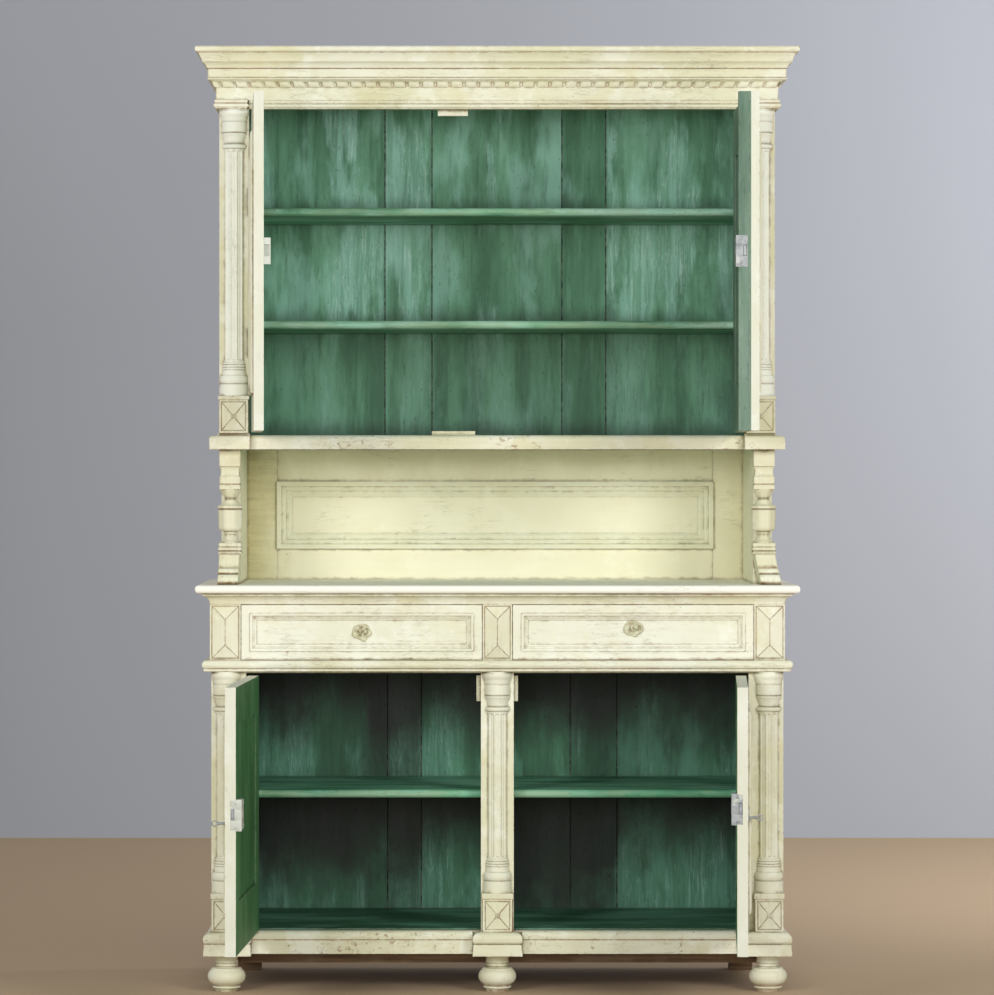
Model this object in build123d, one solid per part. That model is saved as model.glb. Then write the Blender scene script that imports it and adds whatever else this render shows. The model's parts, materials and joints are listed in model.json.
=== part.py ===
"""Antique two-part painted buffet cupboard: a base with doors and drawers, an open niche on turned
brackets, and a two-door upper cabinet under a dentil cornice.

Building frame: x to the right, y to the back, z up, millimetres. y = 0 is the outer face of the
base's doors and posts, x = 0 the middle, z = 0 the floor. Everything is moved at the end so that the
origin lies under the middle front foot.
"""

import os
from math import cos, radians, sin

from build123d import *

os.makedirs("parts", exist_ok=True)

# ---------------------------------------------------------------- driving dimensions, millimetres
# widths, counted from the outer face of the base's sides towards the middle
BASE_HALF = 715.0           # outer face of the base's sides
POST_W = 74.0               # corner post of the base
JAMB_W = 13.0               # jamb between a corner post and the door opening
CENTRE_STILE_W = 82.0       # stile between the base's doors
MIDDLE_BLOCK_W = 73.0       # diamond block under the middle column
MIDDLE_PLINTH_W = 79.0
MUNTIN_W = 74.0             # upright between the drawers
SIDE_T = 22.0               # side boards of both cabinets
TOP_OVERHANG = 38.0         # counter top past the base's sides
UPPER_INSET = 17.0          # upper cabinet's sides inside the base's
UPPER_POST_W = 74.5         # corner post of the upper cabinet
BRACKET_W = 52.0            # thickness of the brackets seen from the front
BRACKET_BOARD_T = 48.0      # board that carries each turned bracket

# depths
BACK_FACE = 509.0           # front of the back boards
BACK_T = 15.0
UPPER_SETBACK = 55.0        # upper cabinet's front plane behind the base's
BASE_DOOR_T = 26.0
UPPER_DOOR_T = 24.0
STOP_GAP = 1.0              # a closed door's inner face to what lies behind it
FRONT_PACK = 10.0           # packing behind the base's front mouldings
TOP_FRONT = 50.0            # counter top in front of the base's front plane
NICHE_BOARD_T = 19.0
WAIST_RAIL_D = 70.0
BASE_SHELF_SETBACK = 45.0   # shelf's front edge behind the base's front plane
UPPER_SHELF_SETBACK = 54.0  # the same in the upper cabinet, behind its own front plane
FOOT_SETBACK = 20.0         # middle of the front feet behind the base's front plane

# heights, stacked from the floor
FOOT_H = 93.5
PLINTH_H = 58.5
BASE_DIAMOND_H = 82.0
DIAMOND_CAP_H = 14.0
BASE_DOOR_H = 637.0
BASE_DOOR_UNDER = 2.0       # gap under the base's doors
BASE_DOOR_OVER = 6.0        # gap over them
WAIST_H = 32.0
WAIST_MOULD_H = 28.0
DRAWER_ZONE_H = 140.0
COVE_H = 28.0
COUNTER_T = 20.0
NICHE_H = 339.0
UPPER_PLINTH_H = 41.0
UPPER_DIAMOND_H = 84.0
UPPER_CAP_H = 9.0
UPPER_DOOR_H = 804.0
UPPER_DOOR_UNDER = 2.0
UPPER_DOOR_OVER = 8.0
ARCHITRAVE_H = 21.0
FRIEZE_H = 33.0
DENTIL_H = 14.0
BED_H = 9.0
CORNICE_H = 77.0

# boards
FLOOR_T = 22.0
SHELF_T = 20.0
FLOOR_RISE = 4.0            # base floor above the top of its bottom rail
UPPER_RAIL_DROP = 6.0       # top of the upper cabinet's bottom rail below its plinth blocks
BASE_SHELF_Z = 481.0        # underside of the base's shelf
UPPER_SHELF_1_Z = 1661.0    # undersides of the upper shelves
UPPER_SHELF_2_Z = 1946.0
BATTEN_H = 20.0
BATTEN_W = 20.0
BATTEN_INSET = 30.0
BOARD_SEAM = 1.2            # chamfer on each board's front edges where two back boards meet
BASE_SEAMS = (-281.0, -193.0, 197.0, 319.0)
UPPER_SEAMS = (-288.0, -165.0, 175.0, 290.0)
TOP_BOARD_DROP = 4.0        # upper cabinet's top board below the top of its sides
BEARER_H = 68.0
BEARER_T = 28.0
BEARER_SETBACK = 60.0
BACK_FOOT_W = 60.0
BACK_FOOT_D = 50.0
BACK_FOOT_INSET = 45.0
FIELD_DEPTH = 6.0           # sunk field in the cabinets' sides
FIELD_FRAME_W = 85.0

# turned and cut ornament
SPLIT_DEPTH = 10.0          # middle of a split turning behind the face it is glued to
SHAFT_R = 28.0
DRUM_R = 38.0
COLUMN_BASE_H = 84.0
CAPITAL_H = 100.0
FLUTE_R = 9.0
FLUTE_DEPTH = 2.2
FLUTE_PITCH = 32.0          # degrees between flutes
FLUTE_STOP = 14.0           # plain shaft left at each end of a flute
BLOCK_D = 28.0              # diamond-cut blocks stand this far out
DIAMOND_BORDER = 6.0        # flat border round the diamond
DIAMOND_RISE = 3.5
BOSS_W = 13.0
BOSS_H = 3.0
HIP_BLOCK_D = 14.0
HIP_RISE = 10.0
HIP_RIDGE = 64.0
HIP_MARGIN = 5.0
PLINTH_FLARE = 22.5
PLINTH_SIDE_FLARE = 15.0    # the same moulding along the cabinet's sides
PLINTH_SHIFT = 4.0          # corner blocks towards the middle
PLINTH_OUT = 48.0           # plinth blocks in front of the cabinet's front plane
PLINTH_BAND_H = 28.5
APRON_OUT = 12.0
APRON_DROP = 2.5            # base aprons end this far above the plinth blocks' underside
APRON_GROOVE = 35.0         # groove above the base aprons' underside
UPPER_PLINTH_OUT = 42.0
UPPER_PLINTH_FLARE = 23.0
UPPER_PLINTH_LAP = 3.5      # plinth block past the post towards the middle
UPPER_BAND_H = 26.0
DENTIL_GAP = 6.0
DENTIL_PITCH = 35.4
BED_OUT = 28.5              # bed moulding in front of the cabinet's front plane
FRIEZE_OUT = 8.0
CAP_BREAK = 22.0            # architrave's break forward over each column

# doors
HINGE_GAP = 3.0
HINGE_OUT = 5.0             # hinge axis in front of a door's outer face
MEETING_GAP = 1.5           # half of the gap between the upper doors
FREE_GAP = 2.0              # base doors' free edge to the centre stile
UPPER_STILE_W = 80.0
UPPER_DOOR_RAIL_H = 118.0
BASE_STILE_W = 78.0
BASE_TOP_RAIL_H = 88.0
BASE_BOTTOM_RAIL_H = 124.0
PANEL_T = 8.0
PANEL_SINK = 12.0           # panel's outer face behind the frame's
MOULD_LAP = 28.0            # door moulding over the frame
MOULD_W = 44.0
MOULD_RISE = 9.0
LOCK_STRIP_W = 28.0
LOCK_STRIP_T = 25.0
LOCK_STRIP_INSET = 1.0      # strip behind the door's free edge
STOP_TOP_INSET = 73.0       # left upper door's stops from the middle
STOP_TOP_L = 76.0
STOP_LOW_INSET = 55.0
STOP_LOW_L = 109.0
STOP_T = 18.0
STOP_LOW_H = 10.0
STOP_SIDE_H = 64.0
STOP_LAP = 11.0             # base doors' stops over the stile's edge
UPPER_LEFT_OPEN = 86.95     # degrees open at rest
UPPER_RIGHT_OPEN = 89.7
BASE_LEFT_OPEN = 92.9
BASE_RIGHT_OPEN = 86.5
UPPER_LIMIT = 98.0          # widest opening of the upper doors
BASE_LIMIT = 110.0

# hinges
LEAF_T = 1.2
LEAF_W = 22.0
KNUCKLE_R = 4.5
KNUCKLE_L = 24.0
PIN_R = 2.5
PIN_FIT = 0.08              # radial
KNUCKLE_END_GAP = 0.3
BASE_HINGE_INSET = 95.0     # hinge's near end from the door's top and bottom
UPPER_HINGE_INSET = 190.0

# locks
LOCK_L = 62.0
LOCK_H = 71.0
LOCK_T = 26.0
BASE_LOCK_PROUD = 12.6      # lock case proud of the wood it is let into
UPPER_LOCK_PROUD = 5.6
LOCK_BACK = 1.5             # lock case behind the door's free edge
LOCK_WALL = 2.0
BOLT_H = 24.0
BOLT_T = 6.0
BOLT_L = 40.0
BOLT_FIT = 0.3
BOLT_SHOW = 1.4             # bolt proud of the lock when drawn back
BOLT_THROW = 8.0
BOLT_RISE = 25.0            # bolt's underside above the lock's
KEY_RISE = 14.0             # key's axis above the lock's underside
KEY_INSET = 34.0            # key's axis from the door's free edge
KEY_R = 3.0
KEY_FIT = 0.4
KEYHOLE_R = 4.6
KEY_OUT = 38.0              # key in front of the door's outer face
BOW_R = 8.0
BOW_WIRE_R = 1.7
BIT_L = 8.0
BASE_LEFT_LOCK_Z = 453.0    # undersides of the lock cases
BASE_RIGHT_LOCK_Z = 467.0
UPPER_LOCK_Z = 1789.0
PLATE_W = 26.0
PLATE_H = 46.0
PLATE_T = 1.5
KEEP_W = 12.0
KEEP_T = 16.0
KEEP_H = 63.0
KEEP_WALL = 2.5

# drawers
DRAWER_GAP = 1.5
SLIDE_GAP = 0.3
DRAWER_FRONT_OUT = 14.0
DRAWER_FRONT_T = 26.0
DRAWER_BORDER = 21.0
DRAWER_FIELD_SINK = 9.0
DRAWER_MOULD_W = 17.0
DRAWER_SIDE_T = 14.0
DRAWER_SIDE_H = 118.0
DRAWER_DEPTH = 470.0        # drawer box behind its front
DRAWER_BOTTOM_T = 7.0
DRAWER_BOTTOM_RISE = 6.0
RUNNER_H = 20.0
RUNNER_W = 33.0
GUIDE_H = 20.0
GUIDE_PLAY = 2.5
ROSETTE_R = 20.0
ROSETTE_RISE = 9.0
RIGHT_ROSETTE_UP = 9.5      # the right drawer's rosette sits above the middle

# niche
NICHE_FRAME_W = 40.0
NICHE_FRAME_H = 175.0
NICHE_FRAME_Z = 81.0        # frame's underside above the counter
NICHE_FRAME_SIDE = 78.0     # frame's end from the bracket boards
NICHE_MOULD_RISE = 12.0
BALUSTER_SETBACK = 92.0     # turned brackets' axis behind the base's front plane
VASE_DRAWN_H = 218.0        # height at which the vase's outline is drawn
BRACKET_DEPTH = 36.0        # brackets' blocks run this far behind the axis, to the boards
SCROLL_H = 75.0
SCROLL_TOE = 6.0            # scroll foot's toe behind the base's front plane
CAP_BLOCK_H = 46.0

# ---------------------------------------------------------------- levels that follow
Z_PLINTH_TOP = FOOT_H + PLINTH_H
Z_BASE_COLUMN = Z_PLINTH_TOP + BASE_DIAMOND_H + DIAMOND_CAP_H
Z_BASE_DOOR = Z_PLINTH_TOP + BASE_DOOR_UNDER
Z_WAIST = Z_BASE_DOOR + BASE_DOOR_H + BASE_DOOR_OVER
Z_DRAWERS = Z_WAIST + WAIST_H
Z_WAIST_MOULD = Z_DRAWERS - WAIST_MOULD_H
Z_COVE = Z_DRAWERS + DRAWER_ZONE_H
Z_COUNTER = Z_COVE + COVE_H
Z_NICHE = Z_COUNTER + COUNTER_T
Z_UPPER = Z_NICHE + NICHE_H
Z_UPPER_PLINTH_TOP = Z_UPPER + UPPER_PLINTH_H
Z_UPPER_RAIL_TOP = Z_UPPER_PLINTH_TOP - UPPER_RAIL_DROP
Z_UPPER_COLUMN = Z_UPPER_PLINTH_TOP + UPPER_DIAMOND_H + UPPER_CAP_H
Z_UPPER_DOOR = Z_UPPER_PLINTH_TOP + UPPER_DOOR_UNDER
Z_HEAD = Z_UPPER_DOOR + UPPER_DOOR_H + UPPER_DOOR_OVER
Z_FRIEZE = Z_HEAD + ARCHITRAVE_H
Z_DENTILS = Z_FRIEZE + FRIEZE_H
Z_CORNICE = Z_DENTILS + DENTIL_H + BED_H
Z_TOP = Z_CORNICE + CORNICE_H
Z_BASE_FLOOR = Z_PLINTH_TOP + FLOOR_RISE
Z_UPPER_FLOOR = Z_UPPER_RAIL_TOP + 1.0

BASE_FRAME_T = BASE_DOOR_T + STOP_GAP
UPPER_FRAME_T = UPPER_DOOR_T + STOP_GAP
BACK = BACK_FACE + BACK_T
POST_IN = BASE_HALF - POST_W
BASE_OPEN_HALF = POST_IN - JAMB_W
UPPER_HALF = BASE_HALF - UPPER_INSET
UPPER_OPEN_HALF = UPPER_HALF - UPPER_POST_W
POST_MID = BASE_HALF - POST_W / 2
UPPER_POST_MID = UPPER_HALF - UPPER_POST_W / 2
UPPER_FRONT = UPPER_SETBACK
CENTRE_HALF = CENTRE_STILE_W / 2
BRACKET_MID = UPPER_HALF - BRACKET_W / 2
BRACKET_IN = BRACKET_MID - BRACKET_BOARD_T / 2


# ---------------------------------------------------------------- helpers
def block(x0, x1, y0, y1, z0, z1):
    """A box between two corners."""
    return Pos((x0 + x1) / 2, (y0 + y1) / 2, (z0 + z1) / 2) * Box(x1 - x0, y1 - y0, z1 - z0)


def twin(shape):
    """A shape and its mirror image in the middle plane."""
    return [shape, mirror(shape, about=Plane.YZ)]


def outline(*steps):
    """Closed face: a pair is the next corner, two pairs are an arc's middle and its end."""
    edges = []
    start = at = steps[0]
    for step in steps[1:] + (start,):
        if isinstance(step[0], tuple):
            edges.append(ThreePointArc(at, step[0], step[1]))
            at = step[1]
        elif step != at:
            edges.append(Line(at, step))
            at = step
    return make_face(edges)


def corners(steps):
    """Every corner and arc point of an outline's steps, in order."""
    out = []
    for step in steps:
        out += list(step) if isinstance(step[0], tuple) else [step]
    return out


def moved(steps, dx, dz=0.0):
    """The same steps of an outline, shifted."""
    out = []
    for step in steps:
        if isinstance(step[0], tuple):
            out.append(tuple((x + dx, z + dz) for x, z in step))
        else:
            out.append((step[0] + dx, step[1] + dz))
    return out


def plan_prism(points, z0, z1):
    """An upright prism on a polygon in plan."""
    return extrude(Pos(0, 0, z0) * make_face(Polyline(*points, close=True)), z1 - z0)


def across(face, x0, x1, front):
    """A section (out, z) run along x on a front plane: out is towards the viewer."""
    plane = Plane(origin=(x1, front, 0), x_dir=(0, -1, 0), z_dir=(-1, 0, 0))
    return extrude(plane * face, x1 - x0)


def along_side(face, side, y0, y1):
    """A section (out, z) run along y on the right side: out is away from the middle."""
    plane = Plane(origin=(side, y1, 0), x_dir=(1, 0, 0), z_dir=(0, -1, 0))
    return extrude(plane * face, y1 - y0)


def surround(steps, side, front, back, reach, pack=0.0):
    """Three mitred lengths of a moulding: the front, the right side and the left side.

    steps run from the lowest to the highest point, as (out, z). pack thickens the front length
    towards the back, so that the mitres stay at 45 degrees.
    """
    z0, z1 = steps[0][1], corners(steps)[-1][1]
    fore = front - pack
    front_face = outline((-pack, z0), *steps, (-pack, z1))
    side_face = outline((0.0, z0), *steps, (0.0, z1))
    plan = [(side, fore), (side + reach, fore - reach), (-side - reach, fore - reach),
            (-side, fore)]
    if pack:
        plan = [(-side, front), (side, front)] + plan
    front_run = across(front_face, -side - reach, side + reach, fore) & plan_prism(plan, z0, z1)
    side_plan = [(side, fore), (side + reach, fore - reach), (side + reach, back), (side, back)]
    side_run = along_side(side_face, side, fore - reach, back) & plan_prism(side_plan, z0, z1)
    return [front_run] + twin(side_run)


def cap_moulding(steps, x0, x1, front, depth):
    """A block whose front and both ends carry one moulding; its back is flat."""
    z0, z1 = steps[0][1], corners(steps)[-1][1]
    reach = max(x for x, _ in corners(steps))
    mid = (x0 + x1) / 2
    half = (x1 - x0) / 2
    long_face = outline((-depth, z0), *steps, (-depth, z1))
    long_run = across(long_face, x0 - reach, x1 + reach, front)
    half_face = outline((0.0, z0), *moved(steps, half), (0.0, z1))
    end_run = along_side(half_face, 0.0, front - reach, front + depth)
    ends = end_run + mirror(end_run, about=Plane.YZ)
    return long_run & (Pos(mid, 0, 0) * ends)


def picture_frame(steps, width, height):
    """Four mitred strips round a width by height outline in the XY plane, standing up in z.

    steps are the section as (in from the outer edge, height).
    """
    face = outline(*steps)
    deep = max(x for x, _ in corners(steps))
    strips = []
    for turn, run, over in ((0, width, height), (90, height, width), (180, width, height),
                            (270, height, width)):
        section = Plane(origin=(-run / 2, -over / 2, 0), x_dir=(0, 1, 0), z_dir=(1, 0, 0)) * face
        mitre = [(-run / 2, -over / 2), (run / 2, -over / 2),
                 (run / 2 - deep, -over / 2 + deep), (-run / 2 + deep, -over / 2 + deep)]
        strip = extrude(section, run) & plan_prism(mitre, -deep, deep)
        strips.append(Rot(0, 0, turn) * strip)
    return strips


def facing(x, y, z):
    """Plane on a front face: x right, y up, z towards the viewer."""
    return Location(Plane(origin=(x, y, z), x_dir=(1, 0, 0), z_dir=(0, -1, 0)))


def turned(*steps):
    """A turned piece from its half outline (radius, height)."""
    return revolve(Plane.XZ * outline(*steps), Axis.Z, 360)


def raised(steps, share):
    """The same outline with every height multiplied by a share."""
    return [tuple((r, z * share) for r, z in s) if isinstance(s[0], tuple) else (s[0], s[1] * share)
            for s in steps]


def hipped(width, height, top_w, top_h, rise):
    """A hipped block in the XY plane, rising in z to a smaller rectangle."""
    return loft([Rectangle(width, height), Pos(0, 0, rise) * Rectangle(top_w, top_h)])


def planks(seams, x0, x1, y0, y1, z0, z1):
    """Upright boards between x0 and x1 that meet at the seams, front edges chamfered there."""
    edges = [x0] + list(seams) + [x1]
    boards = []
    for left, right in zip(edges, edges[1:]):
        a = BOARD_SEAM if left != x0 else 0.0
        b = BOARD_SEAM if right != x1 else 0.0
        plan = [(left, y1), (left, y0 + a), (left + a, y0), (right - b, y0), (right, y0 + b), (right, y1)]
        plan = [point for k, point in enumerate(plan) if point != plan[k - 1]]
        boards.append(plan_prism(plan, z0, z1))
    return boards


# ---------------------------------------------------------------- the base cabinet
def base_face_frame():
    """Posts, jambs, centre stile, rails and the muntin between the drawers."""
    post = block(POST_IN, BASE_HALF, 0, BASE_FRAME_T, FOOT_H, Z_COUNTER)
    jamb = block(BASE_OPEN_HALF, POST_IN, 0, BASE_FRAME_T, Z_PLINTH_TOP, Z_WAIST)
    stile = block(-CENTRE_HALF, CENTRE_HALF, 0, BASE_FRAME_T, Z_PLINTH_TOP, Z_WAIST)
    for left, lock_z in ((True, BASE_LEFT_LOCK_Z), (False, BASE_RIGHT_LOCK_Z)):
        mortise = bolt_mortise(lock_z)
        stile -= mirror(mortise, about=Plane.YZ) if left else mortise
    bottom = block(-POST_IN, POST_IN, 0, BASE_FRAME_T, FOOT_H + APRON_DROP, Z_PLINTH_TOP)
    waist = block(-POST_IN, POST_IN, 0, BASE_FRAME_T, Z_WAIST, Z_DRAWERS)
    waist += block(-POST_IN, POST_IN, BASE_FRAME_T, WAIST_RAIL_D, Z_WAIST, Z_DRAWERS)
    head = block(-POST_IN, POST_IN, 0, BASE_FRAME_T, Z_COVE, Z_COUNTER)
    muntin = block(-MUNTIN_W / 2, MUNTIN_W / 2, 0, BASE_FRAME_T, Z_DRAWERS, Z_COVE)
    return twin(post) + twin(jamb) + [stile, bottom, waist, head, muntin]


def bolt_mortise(lock_z):
    """Slot in the right edge of the centre stile for the bolt of a base door's lock."""
    y0 = BASE_DOOR_T + BASE_LOCK_PROUD - LOCK_T + LOCK_WALL + BOLT_FIT
    z0 = lock_z + BOLT_RISE
    return block(CENTRE_HALF - BOLT_THROW - 2, CENTRE_HALF + 1, y0 - 1, y0 + BOLT_T + 1,
                 z0 - 1, z0 + BOLT_H + 1)


def sunk_side(half, front, z0, z1, frame_top, frame_bottom):
    """A side board with a plain sunk field in its outer face."""
    board = block(half - SIDE_T, half, front, BACK, z0, z1)
    field = block(half - FIELD_DEPTH, half + 1, front + FIELD_FRAME_W, BACK - FIELD_FRAME_W,
                  z0 + frame_bottom, z1 - frame_top)
    return board - field


def base_sides():
    top = Z_COUNTER - Z_WAIST + FIELD_FRAME_W
    return twin(sunk_side(BASE_HALF, BASE_FRAME_T, FOOT_H, Z_COUNTER, top, PLINTH_H + FIELD_FRAME_W))


def base_floor():
    inner = BASE_HALF - SIDE_T
    return [block(-inner, inner, BASE_FRAME_T, BACK_FACE, Z_BASE_FLOOR - FLOOR_T, Z_BASE_FLOOR)]


def base_back_boards():
    inner = BASE_HALF - SIDE_T
    return planks(BASE_SEAMS, -inner, inner, BACK_FACE, BACK, FOOT_H, Z_COUNTER)


def nosed_shelf(inner, y0, z0):
    """A shelf with a rounded front edge."""
    r = SHELF_T / 2
    section = outline((BACK_FACE, z0), (y0 + r, z0), ((y0, z0 + r), (y0 + r, z0 + SHELF_T)),
                      (BACK_FACE, z0 + SHELF_T))
    plane = Plane(origin=(-inner, 0, 0), x_dir=(0, 1, 0), z_dir=(1, 0, 0))
    return extrude(plane * section, 2 * inner)


def base_shelf():
    return [nosed_shelf(BASE_HALF - SIDE_T, BASE_SHELF_SETBACK, BASE_SHELF_Z)]


def upper_shelves():
    y0 = UPPER_FRONT + UPPER_SHELF_SETBACK
    return [nosed_shelf(UPPER_HALF - SIDE_T, y0, z) for z in (UPPER_SHELF_1_Z, UPPER_SHELF_2_Z)]


def shelf_battens():
    """Battens on the sides under each shelf."""
    out = []
    for half, y0, z in ((BASE_HALF, BASE_SHELF_SETBACK, BASE_SHELF_Z),
                        (UPPER_HALF, UPPER_FRONT + UPPER_SHELF_SETBACK, UPPER_SHELF_1_Z),
                        (UPPER_HALF, UPPER_FRONT + UPPER_SHELF_SETBACK, UPPER_SHELF_2_Z)):
        inner = half - SIDE_T
        out += twin(block(inner - BATTEN_W, inner, y0 + BATTEN_INSET, BACK_FACE, z - BATTEN_H, z))
    return out


def plinth_steps(z0, z1, band, flare, top_out):
    """Flaring band, a groove and a full round that closes under the block above, as (out, z)."""
    groove = z0 + band
    low, high = groove + 3.0, z1 - 1.5
    return [(flare, z0), (flare, z0 + 4.0), (flare - 2.0, groove), (flare - 4.5, groove + 1.5),
            (flare - 2.5, low), ((flare - 1.0, low + 0.62 * (high - low)), (top_out + 2.5, high)),
            (top_out, z1)]


def cyma_steps(z0, z1, band, flare, top_out):
    """Square band with a cyma above it, as (out, z)."""
    mid_out = (flare + top_out) / 2
    mid_z = (z0 + band + z1) / 2
    low = (flare - 0.28 * (flare - mid_out), z0 + band + 0.72 * (mid_z - z0 - band))
    high = (mid_out - 0.72 * (mid_out - top_out), mid_z + 0.28 * (z1 - mid_z))
    return [(flare, z0), (flare, z0 + band), (low, (mid_out, mid_z)), (high, (top_out, z1))]


def base_plinth_blocks():
    """Blocks under the three columns, and the same moulding along the sides."""
    steps = plinth_steps(FOOT_H, Z_PLINTH_TOP, PLINTH_BAND_H, PLINTH_FLARE, 1.5)
    front = -(PLINTH_OUT - PLINTH_FLARE)
    shift = PLINTH_SHIFT
    corner = cap_moulding(steps, POST_IN - shift, BASE_HALF - shift, front, -front)
    middle = cap_moulding(steps, -MIDDLE_PLINTH_W / 2, MIDDLE_PLINTH_W / 2, front, -front)
    steps = plinth_steps(FOOT_H, Z_PLINTH_TOP, PLINTH_BAND_H, PLINTH_SIDE_FLARE, 1.5)
    side_face = outline((0.0, FOOT_H), *steps, (0.0, Z_PLINTH_TOP))
    run = along_side(side_face, BASE_HALF, 0, BACK)
    return twin(corner) + [middle] + twin(run)


def apron_steps(z0, z1, out):
    """Flat strip with a rounded top edge, as (out, z)."""
    r = out * 0.85
    return [(out, z0), (out, z1 - 1.6 * r), ((out - 0.3 * r, z1 - 0.45 * r), (out - r, z1))]


def aprons():
    """Strips between the plinth blocks, two on the base and one on the upper cabinet."""
    z0 = FOOT_H + APRON_DROP
    groove = z0 + APRON_GROOVE
    low = apron_steps(z0, Z_PLINTH_TOP, APRON_OUT)
    low[1:1] = [(APRON_OUT, groove - 1.5), (APRON_OUT - 2.0, groove), (APRON_OUT, groove + 1.5)]
    face = outline((0.0, z0), *low, (0.0, Z_PLINTH_TOP))
    base = across(face, MIDDLE_PLINTH_W / 2 + PLINTH_FLARE, POST_IN - PLINTH_SHIFT - PLINTH_FLARE, 0)
    high = apron_steps(Z_UPPER, Z_UPPER_RAIL_TOP, APRON_OUT)
    face = outline((0.0, Z_UPPER), *high, (0.0, Z_UPPER_RAIL_TOP))
    reach = UPPER_OPEN_HALF - UPPER_PLINTH_LAP
    return twin(base) + [across(face, -reach, reach, UPPER_FRONT)]


def diamond_block(mid, width, front, z0, body_h, cap_h):
    """Block with a low diamond inside a flat border, a small boss and a cap fillet."""
    solid = block(mid - width / 2, mid + width / 2, front - BLOCK_D, front, z0, z0 + body_h)
    at = facing(mid, front - BLOCK_D, z0 + body_h / 2)
    rim = 2 * DIAMOND_BORDER
    solid += at * hipped(width - rim, body_h - rim, BOSS_W, BOSS_W, DIAMOND_RISE)
    solid += at * Pos(0, 0, DIAMOND_RISE + BOSS_H / 2) * Box(BOSS_W, BOSS_W, BOSS_H)
    over = 2.0
    solid += block(mid - width / 2 - over, mid + width / 2 + over, front - BLOCK_D - over, front,
                   z0 + body_h, z0 + body_h + cap_h)
    return solid


def base_diamond_blocks():
    width = POST_W - 4
    corner = diamond_block(POST_MID, width, 0, Z_PLINTH_TOP, BASE_DIAMOND_H, DIAMOND_CAP_H)
    middle = diamond_block(0, MIDDLE_BLOCK_W, 0, Z_PLINTH_TOP, BASE_DIAMOND_H, DIAMOND_CAP_H)
    return twin(corner) + [middle]


def upper_diamond_blocks():
    return twin(diamond_block(UPPER_POST_MID, UPPER_POST_W - 4, UPPER_FRONT, Z_UPPER_PLINTH_TOP,
                              UPPER_DIAMOND_H, UPPER_CAP_H))


def column_outline(height):
    """Half outline of a fluted column with a turned base and capital, standing on z = 0."""
    d, s = DRUM_R, SHAFT_R
    b, top = COLUMN_BASE_H, height
    c = height - CAPITAL_H
    return [
        (0.0, 0.0), (d, 0.0), (d - 1.0, 30.0), (d - 3.0, 32.0), ((d - 0.5, 41.0), (d - 4.0, 51.0)),
        (s + 4.0, 53.0), ((s + 3.0, 60.0), (s + 1.5, b - 18.0)), (s + 3.0, b - 17.0),
        (s + 3.0, b - 13.0), (s + 1.0, b - 12.0), (s + 2.5, b - 10.5), (s + 2.5, b - 6.0),
        (s + 0.5, b - 5.0), ((s + 2.0, b - 2.5), (s + 0.5, b)), (s - 0.5, b + 1.0), (s - 0.5, c),
        (s + 2.5, c + 1.0), ((s + 5.0, c + 5.5), (s + 2.5, c + 10.0)), (s - 2.0, c + 11.5),
        ((s - 0.5, c + 22.0), (s + 3.0, c + 33.0)), (s + 4.5, c + 35.0), (s + 4.5, c + 38.0),
        (s + 3.0, c + 39.0), (s + 3.0, c + 41.0), (s + 5.0, c + 42.5), (s + 5.0, top - 34.0),
        (s + 4.0, top - 33.0), (s + 6.0, top - 26.0), (s + 6.0, top - 21.5), (d - 3.5, top - 20.0),
        ((d + 0.5, top - 11.0), (d - 1.0, top - 3.5)), (d - 1.0, top), (0.0, top),
    ]


def flute(turn, low, high):
    """One flute's cutter: a rod with round ends, sunk into the shaft by the flute's depth."""
    out = SHAFT_R + FLUTE_R - FLUTE_DEPTH
    x, y = out * cos(turn), out * sin(turn)
    rod = Pos(x, y, (low + high) / 2) * Cylinder(FLUTE_R, high - low)
    return rod + Pos(x, y, low) * Sphere(FLUTE_R) + Pos(x, y, high) * Sphere(FLUTE_R)


def split_column(x, front, z0, z1):
    """Base, fluted shaft and capital of a column cut off behind the face it is glued to."""
    solid = turned(*column_outline(z1 - z0))
    low = COLUMN_BASE_H + FLUTE_STOP
    high = z1 - z0 - CAPITAL_H - FLUTE_STOP
    for k in range(-2, 3):
        solid -= flute(radians(-90 + k * FLUTE_PITCH), low, high)
    solid = Pos(x, front + SPLIT_DEPTH, z0) * solid
    w = 2 * DRUM_R
    cuts = (z0, z0 + COLUMN_BASE_H, z1 - CAPITAL_H, z1)
    return [solid & block(x - w, x + w, front - w, front, a, b) for a, b in zip(cuts, cuts[1:])]


def twins(shapes):
    """Several shapes and their mirror images in the middle plane."""
    return [made for shape in shapes for made in twin(shape)]


def base_columns():
    corner = split_column(POST_MID, 0, Z_BASE_COLUMN, Z_WAIST_MOULD)
    middle = split_column(0, 0, Z_BASE_COLUMN, Z_WAIST_MOULD)
    return twins(corner) + middle


def upper_columns():
    return twins(split_column(UPPER_POST_MID, UPPER_FRONT, Z_UPPER_COLUMN, Z_HEAD))


def hip_blocks():
    """Blocks with a hipped face at both ends of the drawers and between them."""
    h = DRAWER_ZONE_H
    z = Z_DRAWERS + h / 2
    out = []
    for x0, x1 in ((POST_IN, BASE_HALF + 3.0), (-MUNTIN_W / 2, MUNTIN_W / 2)):
        mid, w = (x0 + x1) / 2, x1 - x0
        solid = block(x0, x1, -HIP_BLOCK_D, 0, Z_DRAWERS, Z_COVE)
        face = hipped(w - 2 * HIP_MARGIN, h - 2 * HIP_MARGIN, 2.0, HIP_RIDGE, HIP_RISE)
        solid += facing(mid, -HIP_BLOCK_D, z) * face
        out.append(solid)
    return twin(out[0]) + [out[1]]


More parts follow.
